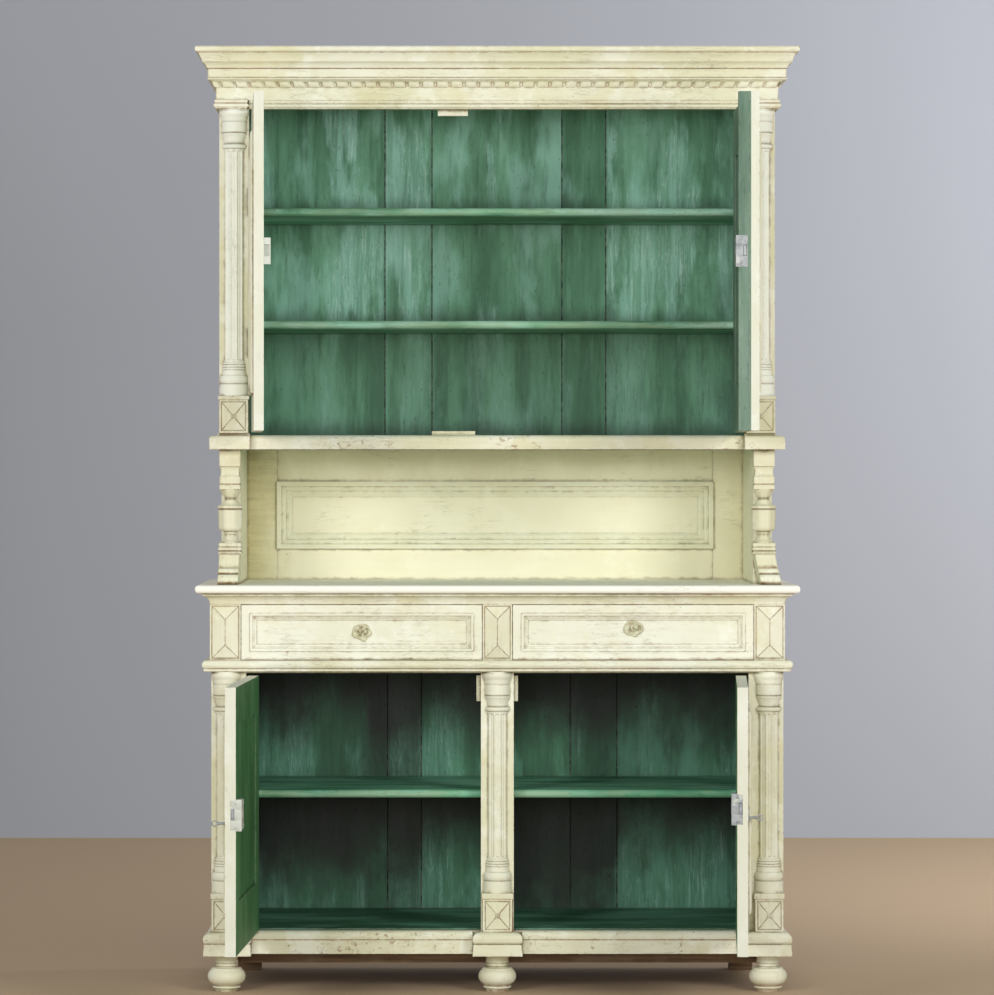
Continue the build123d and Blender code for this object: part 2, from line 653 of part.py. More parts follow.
def waist_moulding():
    z0, z1 = Z_WAIST_MOULD, Z_DRAWERS
    steps = [(15.0, z0), (18.0, z0 + 2.0), (18.0, z0 + 6.5), (16.0, z0 + 7.5),
             ((22.0, (z0 + z1) / 2 + 3.5), (16.0, z1 - 1.0)), (14.0, z1)]
    return surround(steps, BASE_HALF, 0.0, BACK, 24.0, FRONT_PACK)


def counter_cove():
    z0, z1 = Z_COVE, Z_COUNTER
    steps = [(3.0, z0), ((7.5, z0 + 14.0), (17.0, z1 - 7.0)), (22.0, z1 - 7.0), (22.0, z1)]
    return surround(steps, BASE_HALF, 0.0, BACK, 24.0, FRONT_PACK)


def countertop():
    half = BASE_HALF + TOP_OVERHANG
    slab = block(-half, half, -TOP_FRONT, BACK, Z_COUNTER, Z_NICHE)
    r = COUNTER_T * 0.42
    low = slab.edges().group_by(Axis.Z)[0]
    high = slab.edges().group_by(Axis.Z)[-1]
    edges = [e for e in low + high if e.center().Y < BACK - 1]
    return [fillet(edges, r)]


def front_feet():
    """Turned bun feet under the three columns."""
    h = FOOT_H
    foot = turned((0.0, 0.0), (28.0, 0.0), (29.5, 7.5), (34.0, 9.0), ((35.2, 11.5), (34.0, 14.0)),
                  (32.0, 15.5), (36.0, 19.0), ((47.3, 36.0), (38.5, 54.5)), (37.5, 58.0),
                  (27.0, 60.0), (25.0, 62.0), ((27.0, 66.0), (25.5, 70.0)), (29.0, 73.5),
                  (29.0, 76.0), ((28.0, h - 12.0), (32.0, h - 3.0)), (33.0, h), (0.0, h))
    return [Pos(x, FOOT_SETBACK, 0) * foot for x in (-POST_MID, 0, POST_MID)]


def bearers():
    """Cross bearers under the floor board, front and back."""
    inner = BASE_HALF - SIDE_T
    z1 = Z_BASE_FLOOR - FLOOR_T
    front = block(-inner, inner, BEARER_SETBACK, BEARER_SETBACK + BEARER_T, z1 - BEARER_H, z1)
    back_y = BACK_FACE - BEARER_T
    back = block(-inner, inner, back_y, BACK_FACE, z1 - BEARER_H, z1)
    return [front, back]


def back_feet():
    """Plain square feet under the back bearer."""
    z1 = Z_BASE_FLOOR - FLOOR_T - BEARER_H
    x1 = BASE_HALF - BACK_FOOT_INSET
    foot = block(x1 - BACK_FOOT_W, x1, BACK_FACE - BACK_FOOT_D, BACK_FACE, 0, z1)
    return twin(foot)


def drawer_runners():
    """Runners, guides and the board that parts the drawers."""
    inner = BASE_HALF - SIDE_T
    z0, z1 = Z_DRAWERS - RUNNER_H, Z_DRAWERS
    half = MUNTIN_W / 2 + RUNNER_W
    centre = block(-half, half, WAIST_RAIL_D, BACK_FACE, z0, z1)
    outer = block(POST_IN - RUNNER_W, inner, WAIST_RAIL_D, BACK_FACE, z0, z1)
    guide_in = MUNTIN_W / 2
    middle = block(-guide_in, guide_in, BASE_FRAME_T, BACK_FACE, z1, z1 + GUIDE_H)
    side = block(POST_IN, inner, BASE_FRAME_T, BACK_FACE, z1, z1 + GUIDE_H)
    return [centre, middle] + twin(outer) + twin(side)


# ---------------------------------------------------------------- the niche
def niche_panel():
    """Back board of the niche between the bracket boards, its end stiles proud of the field."""
    field = block(-BRACKET_IN, BRACKET_IN, BACK_FACE - NICHE_BOARD_T + 4, BACK_FACE, Z_NICHE, Z_UPPER)
    inner = BRACKET_IN - NICHE_FRAME_SIDE
    stile = block(inner, BRACKET_IN, BACK_FACE - NICHE_BOARD_T, BACK_FACE - NICHE_BOARD_T + 4,
                  Z_NICHE, Z_UPPER)
    return [field] + twin(stile)


def niche_moulding():
    """Stepped frame on the niche's back board."""
    w, r = NICHE_FRAME_W, NICHE_MOULD_RISE
    steps = [(0.0, 0.0), (0.0, r), (7.0, r), ((11.0, r - 1.0), (13.0, r - 4.0)), (20.0, r - 4.0),
             ((23.0, r - 5.5), (25.0, r - 8.0)), (33.0, r - 8.0), (w, 1.0), (w, 0.0)]
    width = 2 * (BRACKET_IN - NICHE_FRAME_SIDE)
    at = facing(0, BACK_FACE - NICHE_BOARD_T + 4, Z_NICHE + NICHE_FRAME_Z + NICHE_FRAME_H / 2)
    return [at * s for s in picture_frame(steps, width, NICHE_FRAME_H)]


def bracket_boards():
    """Boards from the turned brackets back to the wall of the niche."""
    y0 = BALUSTER_SETBACK + BRACKET_DEPTH
    return twin(block(BRACKET_IN, BRACKET_IN + BRACKET_BOARD_T, y0, BACK, Z_NICHE, Z_UPPER))


def bracket_balusters():
    """Turned vases between the scroll feet and the cap blocks."""
    z0 = Z_NICHE + SCROLL_H
    z1 = Z_UPPER - CAP_BLOCK_H
    steps = [
        (0.0, 0.0), (26.0, 0.0), (26.0, 9.0), (24.0, 11.0), (26.0, 13.0), (26.0, 24.0),
        (23.4, 27.0), ((21.0, 37.0), (23.4, 46.0)), (17.0, 49.0), (17.0, 56.0),
        (22.0, 58.0), ((30.5, 84.0), (28.0, 109.0)), (31.0, 112.0), ((34.5, 119.0), (31.0, 127.0)),
        (18.0, 131.0), ((19.5, 140.0), (18.0, 148.0)), (25.0, 151.0), ((27.0, 157.5), (25.0, 164.0)),
        (23.0, 166.0), (26.5, 170.0), (26.5, 190.0), ((23.0, 203.0), (26.0, VASE_DRAWN_H)),
        (0.0, VASE_DRAWN_H)]
    solid = turned(*raised(steps, (z1 - z0) / VASE_DRAWN_H))
    return twin(Pos(BRACKET_MID, BALUSTER_SETBACK, z0) * solid)


def bracket_blocks():
    """Cap blocks over the vases and scroll feet under them, running back to the boards."""
    y1 = BALUSTER_SETBACK + BRACKET_DEPTH
    x0, x1 = BRACKET_MID - BRACKET_W / 2, BRACKET_MID + BRACKET_W / 2
    plane = Plane(origin=(x0, 0, 0), x_dir=(0, 1, 0), z_dir=(1, 0, 0))
    z0, z1 = Z_UPPER - CAP_BLOCK_H, Z_UPPER
    face_y = BALUSTER_SETBACK - 30.0
    cap = outline((y1, z0), (face_y + 6, z0), ((face_y, z0 + 10.0), (face_y + 5, z0 + 20.0)),
                  ((face_y + 6, z0 + 30.0), (face_y - 4, z1 - 5.0)), (face_y - 4, z1), (y1, z1))
    toe = SCROLL_TOE
    a, b = Z_NICHE, Z_NICHE + SCROLL_H
    foot = outline((y1, a), (toe + 6, a), ((toe - 1, a + 8.0), (toe + 6, a + 18.0)),
                   ((toe + 26, a + 30.0), (toe + 34, a + 48.0)),
                   ((toe + 42, b - 14.0), (face_y - 4, b - 8.0)), (face_y - 4, b), (y1, b))
    solids = [extrude(plane * cap, x1 - x0), extrude(plane * foot, x1 - x0)]
    return twin(solids[0]) + twin(solids[1])


# ---------------------------------------------------------------- the upper cabinet
def upper_face_frame():
    f = UPPER_FRONT
    post = block(UPPER_OPEN_HALF, UPPER_HALF, f, f + UPPER_FRAME_T, Z_UPPER, Z_CORNICE)
    o = UPPER_OPEN_HALF
    bottom = block(-o, o, f, f + UPPER_FRAME_T, Z_UPPER, Z_UPPER_RAIL_TOP)
    head = block(-o, o, f, f + UPPER_FRAME_T, Z_HEAD, Z_CORNICE)
    return twin(post) + [bottom, head]


def upper_sides():
    inset = UPPER_PLINTH_H + FIELD_FRAME_W
    top = Z_CORNICE - Z_HEAD + FIELD_FRAME_W
    return twin(sunk_side(UPPER_HALF, UPPER_FRONT + UPPER_FRAME_T, Z_UPPER, Z_CORNICE, top, inset))


def upper_top_and_floor():
    inner = UPPER_HALF - SIDE_T
    y0 = UPPER_FRONT + UPPER_FRAME_T
    floor = block(-inner, inner, y0, BACK_FACE, Z_UPPER_FLOOR - FLOOR_T, Z_UPPER_FLOOR)
    z1 = Z_CORNICE - TOP_BOARD_DROP
    top = block(-inner, inner, y0, BACK_FACE, z1 - FLOOR_T, z1)
    return [floor, top]


def upper_back_boards():
    inner = UPPER_HALF - SIDE_T
    return planks(UPPER_SEAMS, -inner, inner, BACK_FACE, BACK, Z_UPPER, Z_CORNICE)


def upper_plinth_blocks():
    """Moulded blocks under the upper columns, and the same moulding along the sides."""
    steps = cyma_steps(Z_UPPER, Z_UPPER_PLINTH_TOP, UPPER_BAND_H, UPPER_PLINTH_FLARE, 1.5)
    front = UPPER_FRONT - (UPPER_PLINTH_OUT - UPPER_PLINTH_FLARE)
    inner = UPPER_OPEN_HALF - UPPER_PLINTH_LAP
    corner = cap_moulding(steps, UPPER_OPEN_HALF, UPPER_HALF, front, UPPER_FRONT - front)
    corner &= block(inner, UPPER_HALF + 60, front - 60, UPPER_FRONT, Z_UPPER, Z_UPPER_PLINTH_TOP)
    side_face = outline((0.0, Z_UPPER), *steps, (0.0, Z_UPPER_PLINTH_TOP))
    return twin(corner) + twin(along_side(side_face, UPPER_HALF, UPPER_FRONT, BACK))


def architrave():
    """Round and fillets over the doors, broken forward over each column."""
    z0, z1 = Z_HEAD, Z_FRIEZE
    steps = [(8.5, z0), (9.0, z0 + 2.0), (11.5, z0 + 3.5), ((13.0, z0 + 7.5), (11.0, z0 + 11.0)),
             (9.0, z0 + 12.0), (9.0, z0 + 13.5), (10.5, z0 + 14.5), (10.5, z1 - 1.5), (9.0, z1)]
    corner = cap_moulding(steps, UPPER_OPEN_HALF + 13.0, UPPER_HALF, UPPER_FRONT - CAP_BREAK, CAP_BREAK)
    inner = UPPER_OPEN_HALF
    front_face = outline((0.0, z0), *steps, (0.0, z1))
    run = across(front_face, -inner, inner, UPPER_FRONT)
    side = along_side(front_face, UPPER_HALF, UPPER_FRONT, BACK)
    return [run] + twin(corner) + twin(side)


def frieze():
    z0, z1 = Z_FRIEZE, Z_DENTILS
    steps = [(FRIEZE_OUT, z0), (FRIEZE_OUT, z1)]
    return surround(steps, UPPER_HALF, UPPER_FRONT, BACK, FRIEZE_OUT)


def comb(x0, x1, root, clear):
    """Plan outline of a cutter for the gaps of a row of dentils, as (along, out)."""
    count = int((x1 - x0) / DENTIL_PITCH)
    start = (x0 + x1 - (count - 1) * DENTIL_PITCH) / 2
    points = [(x0, clear)]
    for k in range(count):
        a = start + k * DENTIL_PITCH - DENTIL_GAP / 2
        b = a + DENTIL_GAP
        points += [(a, clear), (a, root), (b, root), (b, clear)]
    return points + [(x1, clear), (x1, clear + DENTIL_GAP), (x0, clear + DENTIL_GAP)]


def dentil_band():
    """Slanted bed moulding under the cornice, its lower part cut into dentils."""
    z0, z2 = Z_DENTILS, Z_CORNICE
    z1 = z0 + DENTIL_H
    root, far = FRIEZE_OUT, BED_OUT
    steps = [(root + 2.0, z0), ((root + 7.0, z0 + 5.0), (root + 9.5, z1)), (far - 7.0, z1 + 2.5),
             (far - 1.5, z1 + 4.0), (far, z1 + 5.5), (far, z2 - 1.0), (far - 1.0, z2)]
    front, right, left = surround(steps, UPPER_HALF, UPPER_FRONT, BACK, far + 1.0)
    half = UPPER_HALF - root
    front -= plan_prism([(x, UPPER_FRONT - out) for x, out in comb(-half, half, root, far + 2)], z0, z1)
    gaps = comb(UPPER_FRONT + root, BACK - root, root, far + 2)
    right -= plan_prism([(UPPER_HALF + out, y) for y, out in gaps], z0, z1)
    left -= plan_prism([(-UPPER_HALF - out, y) for y, out in gaps], z0, z1)
    return [front, right, left]


def cornice():
    """Fascia, two slanted rounds and top fillet."""
    z0, z1 = Z_CORNICE, Z_TOP
    steps = [(26.0, z0), (27.5, z0 + 1.5), (27.5, z0 + 21.5), (26.0, z0 + 23.0), (30.0, z0 + 24.0),
             ((33.0, z0 + 31.5), (39.0, z0 + 37.5)), (41.5, z0 + 39.0),
             ((45.0, z0 + 51.0), (50.5, z0 + 60.0)), (50.5, z0 + 61.5), (56.0, z0 + 63.0),
             (58.0, z0 + 66.0), (58.0, z1 - 3.0), (55.0, z1)]
    return surround(steps, UPPER_HALF, UPPER_FRONT, BACK, 60.0)


def door_stops():
    """Blocks that the upper left door and the base's doors close against."""
    y0 = UPPER_FRONT + UPPER_FRAME_T
    y1, t = y0 + STOP_T, STOP_T
    a, b = -STOP_TOP_INSET - STOP_TOP_L, -STOP_LOW_INSET - STOP_LOW_L
    top = block(a, a + STOP_TOP_L, y0, y1, Z_HEAD - t + 3, Z_HEAD + t)
    low = block(b, b + STOP_LOW_L, y0, y1, Z_UPPER_FLOOR, Z_UPPER_FLOOR + STOP_LOW_H)
    z1 = Z_BASE_DOOR + BASE_DOOR_H - BASE_DOOR_UNDER
    mid = CENTRE_HALF
    side = block(mid - STOP_LAP, mid + STOP_LAP, BASE_FRAME_T, BASE_FRAME_T + t, z1 - STOP_SIDE_H, z1)
    return [top, low] + twin(side)


# ---------------------------------------------------------------- doors, closed, right-hand side
def door_frame(thick, x0, x1, y0, z0, z1, stile, bottom, top):
    """Stiles and rails; x0 is the free edge and x1 the hinge edge."""
    y1 = y0 + thick
    return [
        block(x0, x0 + stile, y0, y1, z0, z1), block(x1 - stile, x1, y0, y1, z0, z1),
        block(x0 + stile, x1 - stile, y0, y1, z0, z0 + bottom),
        block(x0 + stile, x1 - stile, y0, y1, z1 - top, z1),
    ]


def door_panel(x0, x1, y0, z0, z1, stile, bottom, top):
    """Sunk panel with four mitred mouldings lapping the frame."""
    a, b, c, d = x0 + stile, x1 - stile, z0 + bottom, z1 - top
    y = y0 + PANEL_SINK
    panel = block(a, b, y, y + PANEL_T, c, d)
    lap, w, r, s = MOULD_LAP, MOULD_W, MOULD_RISE, PANEL_SINK
    steps = [(0.0, 0.0), ((2.0, r - 2.5), (8.0, r - 1.0)), (10.0, r - 3.0), (13.0, r),
             (22.0, r), ((26.0, r - 1.0), (lap, r - 5.0)), ((lap + 6.0, -1.0), (w - 3.0, 3.5 - s)),
             (w, 2.0 - s), (w, -s), (lap, -s), (lap, 0.0)]
    at = facing((a + b) / 2, y0, (c + d) / 2)
    strips = picture_frame(steps, b - a + 2 * lap, d - c + 2 * lap)
    return [panel] + [at * s for s in strips]


def hinge(edge, front, z0):
    """Butt hinge on a door's right edge: frame leaf with its pin, and door leaf with its knuckle."""
    ax, ay = edge + HINGE_GAP / 2, front - HINGE_OUT
    k, r = KNUCKLE_L, KNUCKLE_R
    z3 = z0 + 3 * k
    near = ay + r + 0.7
    post = edge + HINGE_GAP
    plate = block(post - LEAF_T, post, near, near + LEAF_W, z0, z3)
    frame = plate
    for a in (z0, z0 + 2 * k):
        frame += Pos(ax, ay, a + k / 2) * Cylinder(r, k)
        frame += block(post - LEAF_T, post, ay, near, a, a + k)
    frame += Pos(ax, ay, z0 + 1.5 * k) * Cylinder(PIN_R, k + 1)
    a, b = z0 + k + KNUCKLE_END_GAP, z0 + 2 * k - KNUCKLE_END_GAP
    door = block(edge, edge + LEAF_T, near, near + LEAF_W, z0, z3)
    door += block(edge, edge + LEAF_T, ay, near, a, b)
    door += Pos(ax, ay, (a + b) / 2) * Cylinder(r, b - a)
    door -= Pos(ax, ay, (a + b) / 2) * Cylinder(PIN_R + PIN_FIT, b - a + 1)
    return frame, door


def lock_pocket(x0, back, z0):
    """What is cut out of the wood for a lock whose inner face is at back, at the free edge x0."""
    return block(x0 - 1, x0 + LOCK_BACK + LOCK_L, back - LOCK_T, back + LOCK_T, z0, z0 + LOCK_H)


def lock_case(x0, back, z0):
    """Hollow lock case with the bolt's slot in its edge and a keyhole towards the wood."""
    x0 += LOCK_BACK
    y0 = back - LOCK_T
    w = LOCK_WALL
    case = block(x0, x0 + LOCK_L, y0, y0 + LOCK_T, z0, z0 + LOCK_H)
    case -= block(x0 + w, x0 + LOCK_L - w, y0 + w, y0 + LOCK_T - w, z0 + w, z0 + LOCK_H - w)
    b = BOLT_FIT
    case -= block(x0 - 1, x0 + w + 1, y0 + w, y0 + w + BOLT_T + 2 * b,
                  z0 + BOLT_RISE - b, z0 + BOLT_RISE + BOLT_H + b)
    at = Pos(x0 - LOCK_BACK + KEY_INSET, y0 + w / 2, z0 + KEY_RISE)
    return case - at * Rot(90, 0, 0) * Cylinder(KEY_R + KEY_FIT, w + 2)


def lock_bolt(x0, back, z0):
    """Bolt drawn back into its case, resting in the edge slot."""
    x0 += LOCK_BACK
    y0 = back - LOCK_T + LOCK_WALL + BOLT_FIT
    z = z0 + BOLT_RISE
    return block(x0 - BOLT_SHOW, x0 - BOLT_SHOW + BOLT_L, y0, y0 + BOLT_T, z, z + BOLT_H)


def keyhole_plate(x0, front, z0):
    """Upright plate on the door's outer face round the keyhole."""
    x, z = x0 + KEY_INSET, z0 + KEY_RISE + 4.0
    plate = block(x - PLATE_W / 2, x + PLATE_W / 2, front - PLATE_T, front,
                  z - PLATE_H / 2, z + PLATE_H / 2)
    corners = plate.edges().filter_by(Axis.Y)
    plate = chamfer(corners, PLATE_W * 0.3)
    hole = Pos(x, front, z0 + KEY_RISE) * Rot(90, 0, 0) * Cylinder(KEYHOLE_R, 10)
    return plate - hole


def key(x0, front, back, z0):
    """Key through the stile, its bit inside the case and its ring bow outside."""
    x, z = x0 + KEY_INSET, z0 + KEY_RISE
    y0 = back - LOCK_T
    start, end = front - KEY_OUT + 2 * BOW_R, y0 + LOCK_T - LOCK_WALL - 1.0
    rod = Pos(x, (start + end) / 2, z) * Rot(90, 0, 0) * Cylinder(KEY_R, end - start)
    collar = Pos(x, start + 2, z) * Rot(90, 0, 0) * Cylinder(KEY_R + 1.5, 4)
    bow = Pos(x, start - BOW_R + BOW_WIRE_R, z) * Rot(0, 90, 0) * Torus(BOW_R - BOW_WIRE_R, BOW_WIRE_R)
    y2 = y0 + LOCK_WALL + BOLT_FIT
    bit = block(x - 1.0, x + 1.0, y2, y2 + 10.0, z - BIT_L, z)
    return rod + collar + bow + bit


def stile_with_lock(frame, x0, front, back, z0):
    """The free stile with the lock's pocket and the keyhole cut in it."""
    frame[0] -= lock_pocket(x0, back, z0)
    bore = Pos(x0 + KEY_INSET, front + BASE_DOOR_T / 2, z0 + KEY_RISE)
    frame[0] -= bore * Rot(90, 0, 0) * Cylinder(KEYHOLE_R, BASE_DOOR_T * 2)
    return frame


def base_door(lock_z):
    """Right-hand base door, closed: its solids by kind."""
    x0, x1 = CENTRE_HALF + FREE_GAP, BASE_OPEN_HALF - HINGE_GAP
    z0, z1 = Z_BASE_DOOR, Z_BASE_DOOR + BASE_DOOR_H
    shape = (x0, x1, 0.0, z0, z1, BASE_STILE_W, BASE_BOTTOM_RAIL_H, BASE_TOP_RAIL_H)
    back = BASE_DOOR_T + BASE_LOCK_PROUD
    frame = stile_with_lock(door_frame(BASE_DOOR_T, *shape), x0, 0.0, back, lock_z)
    inset = BASE_HINGE_INSET
    hinges = [hinge(x1, 0.0, z) for z in (z0 + inset, z1 - inset - 3 * KNUCKLE_L)]
    return {
        "frame": frame, "panel": door_panel(*shape),
        "leaves": [h[1] for h in hinges], "frame_leaves": [h[0] for h in hinges],
        "lock": [lock_case(x0, back, lock_z), keyhole_plate(x0, 0.0, lock_z)],
        "bolt": [lock_bolt(x0, back, lock_z)], "key": [key(x0, 0.0, back, lock_z)],
    }


def upper_door():
    """Right-hand upper door, closed: its solids by kind, with the lock on its strip."""
    x0, x1 = MEETING_GAP, UPPER_OPEN_HALF - HINGE_GAP
    f = UPPER_FRONT
    z0, z1 = Z_UPPER_DOOR, Z_UPPER_DOOR + UPPER_DOOR_H
    shape = (x0, x1, f, z0, z1, UPPER_STILE_W, UPPER_DOOR_RAIL_H, UPPER_DOOR_RAIL_H)
    inset = UPPER_HINGE_INSET
    hinges = [hinge(x1, f, z) for z in (z0 + inset, z1 - inset - 3 * KNUCKLE_L)]
    inner, a = f + UPPER_DOOR_T, x0 + LOCK_STRIP_INSET
    back = inner + LOCK_STRIP_T + UPPER_LOCK_PROUD
    strip = block(a, a + LOCK_STRIP_W, inner, inner + LOCK_STRIP_T, z0, z1)
    return {
        "frame": door_frame(UPPER_DOOR_T, *shape), "panel": door_panel(*shape),
        "leaves": [h[1] for h in hinges], "frame_leaves": [h[0] for h in hinges],
        "strip": [strip - lock_pocket(x0, back, UPPER_LOCK_Z)],
        "lock": [lock_case(x0, back, UPPER_LOCK_Z)],
        "bolt": [lock_bolt(x0, back, UPPER_LOCK_Z)],
    }


def keep():
    """Keep on the inner face of the left upper door, open towards the lock; built on the left."""
    y0 = UPPER_FRONT + UPPER_DOOR_T
    x1 = -MEETING_GAP - 1.0
    z0 = UPPER_LOCK_Z + (LOCK_H - KEEP_H) / 2
    w = KEEP_WALL
    solid = block(x1 - KEEP_W, x1, y0, y0 + KEEP_T, z0, z0 + KEEP_H)
    slot_z = UPPER_LOCK_Z + BOLT_RISE - 2
    return solid - block(x1 - KEEP_W + w, x1 + 1, y0 + w - 1.5, y0 + KEEP_T - w, slot_z, slot_z + BOLT_H + 4)


def swung(solids, angle, edge_half, front, left=False):
    """Door solids opened by an angle about the hinge axis, on the right or mirrored to the left."""
    if left:
        solids = [mirror(s, about=Plane.YZ) for s in solids]
    x = edge_half - HINGE_GAP / 2
    pin = Axis((-x if left else x, front - HINGE_OUT, 0), (0, 0, 1))
    return [s.rotate(pin, -angle if left else angle) for s in solids]


# ---------------------------------------------------------------- drawers, right-hand side
def drawer_front():
    """Board with a raised border and mitred mouldings round its field."""
    x0, x1 = MUNTIN_W / 2 + DRAWER_GAP, POST_IN - DRAWER_GAP
    z0, z1 = Z_DRAWERS + DRAWER_GAP, Z_COVE - DRAWER_GAP
    y0 = -DRAWER_FRONT_OUT
    b, s = DRAWER_BORDER, DRAWER_FIELD_SINK
    board = block(x0, x1, y0, y0 + DRAWER_FRONT_T, z0, z1)
    board -= block(x0 + b, x1 - b, y0 - 1, y0 + s, z0 + b, z1 - b)
    w = DRAWER_MOULD_W
    steps = [(0.0, 0.0), (0.0, s + 1.5), (4.0, s + 1.5), ((7.0, s - 0.5), (8.0, s - 3.0)),
             (11.0, s - 3.5), ((12.5, 3.5), (w - 1.0, 2.0)), (w, 1.5), (w, 0.0)]
    at = facing((x0 + x1) / 2, y0 + s, (z0 + z1) / 2)
    return [board] + [at * p for p in picture_frame(steps, x1 - x0 - 2 * b, z1 - z0 - 2 * b)]


def drawer_box():
    """Sides, back and bottom behind the front."""
    x0, x1 = MUNTIN_W / 2 + GUIDE_PLAY, POST_IN - GUIDE_PLAY
    y0 = DRAWER_FRONT_T - DRAWER_FRONT_OUT
    y1 = y0 + DRAWER_DEPTH
    z0 = Z_DRAWERS + SLIDE_GAP
    t = DRAWER_SIDE_T
    sides = [block(a, a + t, y0, y1, z0, z0 + DRAWER_SIDE_H) for a in (x0, x1 - t)]
    back = block(x0 + t, x1 - t, y1 - t, y1, z0, z0 + DRAWER_SIDE_H)
    z2 = z0 + DRAWER_BOTTOM_RISE
    bottom = block(x0 + t, x1 - t, y0, y1 - t, z2, z2 + DRAWER_BOTTOM_T)
    return sides + [back, bottom]


def rosette(up):
    """Small cast rosette with a raised middle on a drawer's field."""
    r, h = ROSETTE_R, ROSETTE_RISE
    solid = turned((0.0, 0.0), (r, 0.0), (r, 2.0), ((r - 4.0, 4.5), (r - 8.0, 3.5)),
                   (8.0, 5.0), ((6.5, h - 1.5), (3.0, h)), (0.0, h))
    x = (MUNTIN_W / 2 + POST_IN) / 2
    return [facing(x, -DRAWER_FRONT_OUT + DRAWER_FIELD_SINK, Z_DRAWERS + DRAWER_ZONE_H / 2 + up) * solid]


# ---------------------------------------------------------------- build and write
def all_nodes():
    """Every node's solids, in the building frame, at rest."""
    nodes = {
        "base_face_frame": base_face_frame(), "base_sides": base_sides(), "base_floor": base_floor(),
        "base_back_boards": base_back_boards(), "base_shelf": base_shelf(),
        "shelf_battens": shelf_battens(), "base_plinth_blocks": base_plinth_blocks(),
        "aprons": aprons(), "diamond_blocks": base_diamond_blocks() + upper_diamond_blocks(),
        "half_columns": base_columns() + upper_columns(), "hip_blocks": hip_blocks(),
        "waist_moulding": waist_moulding(), "counter_cove": counter_cove(),
        "countertop": countertop(), "front_feet": front_feet(),
        "rear_feet_and_bearers": back_feet() + bearers(),
        "drawer_runners": drawer_runners(), "niche_panel": niche_panel(),
        "niche_moulding": niche_moulding(), "bracket_boards": bracket_boards(),
        "bracket_balusters": bracket_balusters(), "bracket_blocks": bracket_blocks(),
        "upper_face_frame": upper_face_frame(), "upper_sides": upper_sides(),
        "upper_top_and_floor": upper_top_and_floor(), "upper_back_boards": upper_back_boards(),
        "upper_shelves": upper_shelves(), "upper_plinth_blocks": upper_plinth_blocks(),
        "architrave_and_frieze": architrave() + frieze(), "dentil_band": dentil_band(),
        "cornice": cornice(), "door_stops": door_stops(),
    }
    frame_leaves = []
    for name, door, half, front, left, angle in door_set():
        for kind, solids in door.items():
            if kind == "frame_leaves":
                frame_leaves += [mirror(s, about=Plane.YZ) for s in solids] if left else solids
            elif kind == "strip":
                nodes[name + "_frame"] += swung(solids, angle, half, front, left)
            else:
                label = {"leaves": "_ironwork"}.get(kind, "_" + kind)
                nodes[name + label] = swung(solids, angle, half, front, left)
    nodes["frame_hinge_leaves"] = frame_leaves
    for side, up in (("left", 0.0), ("right", RIGHT_ROSETTE_UP)):
        for kind, solids in (("front", drawer_front()), ("box", drawer_box()), ("rosette", rosette(up))):
            if side == "left":
                solids = [mirror(s, about=Plane.YZ) for s in solids]
            nodes[f"{side}_drawer_{kind}"] = solids
    return nodes


def door_set():
    """Each door's name, closed solids, opening, front plane, side and angle at rest."""
    plain = upper_door()
    bare = {k: v for k, v in plain.items() if k not in ("strip", "lock", "bolt")}
    bare["leaves"] = bare["leaves"] + [mirror(keep(), about=Plane.YZ)]
    return [
        ("upper_left_door", bare, UPPER_OPEN_HALF, UPPER_FRONT, True, UPPER_LEFT_OPEN),
        ("upper_right_door", plain, UPPER_OPEN_HALF, UPPER_FRONT, False, UPPER_RIGHT_OPEN),
        ("base_left_door", base_door(BASE_LEFT_LOCK_Z), BASE_OPEN_HALF, 0.0, True, BASE_LEFT_OPEN),
        ("base_right_door", base_door(BASE_RIGHT_LOCK_Z), BASE_OPEN_HALF, 0.0, False, BASE_RIGHT_OPEN),
    ]


def write(nodes):
    """One STEP file for each node, moved so that the origin is under the middle front foot."""
    shift = Location((0, -FOOT_SETBACK, 0))
    for name, shapes in nodes.items():
        solids = []
        for shape in shapes:
            solids += (shift * shape).solids()
        whole = Compound(children=solids) if len(solids) > 1 else solids[0]
        whole.label = name
        export_step(whole, f"parts/{name}.step")


if __name__ == "__main__":
    write(all_nodes())
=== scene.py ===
"""Looks of a painted buffet cupboard: worn cream paint outside, brushed green inside, turned half
columns, cut blocks, dentils, cast rosettes and iron locks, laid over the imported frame."""

import json
import math

import bpy
import bmesh
import numpy as np
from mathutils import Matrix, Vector


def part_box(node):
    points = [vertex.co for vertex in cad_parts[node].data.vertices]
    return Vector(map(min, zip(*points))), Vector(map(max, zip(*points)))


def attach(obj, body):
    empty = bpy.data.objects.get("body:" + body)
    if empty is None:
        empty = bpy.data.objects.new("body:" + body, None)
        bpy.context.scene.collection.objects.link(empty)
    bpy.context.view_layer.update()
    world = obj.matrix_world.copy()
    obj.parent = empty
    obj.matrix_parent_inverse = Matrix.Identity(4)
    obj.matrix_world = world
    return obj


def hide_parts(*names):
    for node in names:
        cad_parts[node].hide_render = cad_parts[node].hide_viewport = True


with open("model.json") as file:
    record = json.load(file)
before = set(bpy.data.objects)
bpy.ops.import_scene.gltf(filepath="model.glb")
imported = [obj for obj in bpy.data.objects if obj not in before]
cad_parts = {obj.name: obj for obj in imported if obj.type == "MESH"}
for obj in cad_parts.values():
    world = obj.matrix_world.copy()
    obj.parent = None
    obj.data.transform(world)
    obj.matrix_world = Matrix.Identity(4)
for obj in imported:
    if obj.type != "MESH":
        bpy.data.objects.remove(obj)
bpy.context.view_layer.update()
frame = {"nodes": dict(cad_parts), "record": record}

MM = 0.001
SOFT = 0.5 * MM             # half the width of the step where one finish gives way to another
BRUSH_SQUEEZE = 0.1         # how far brush lines and cracks are drawn out
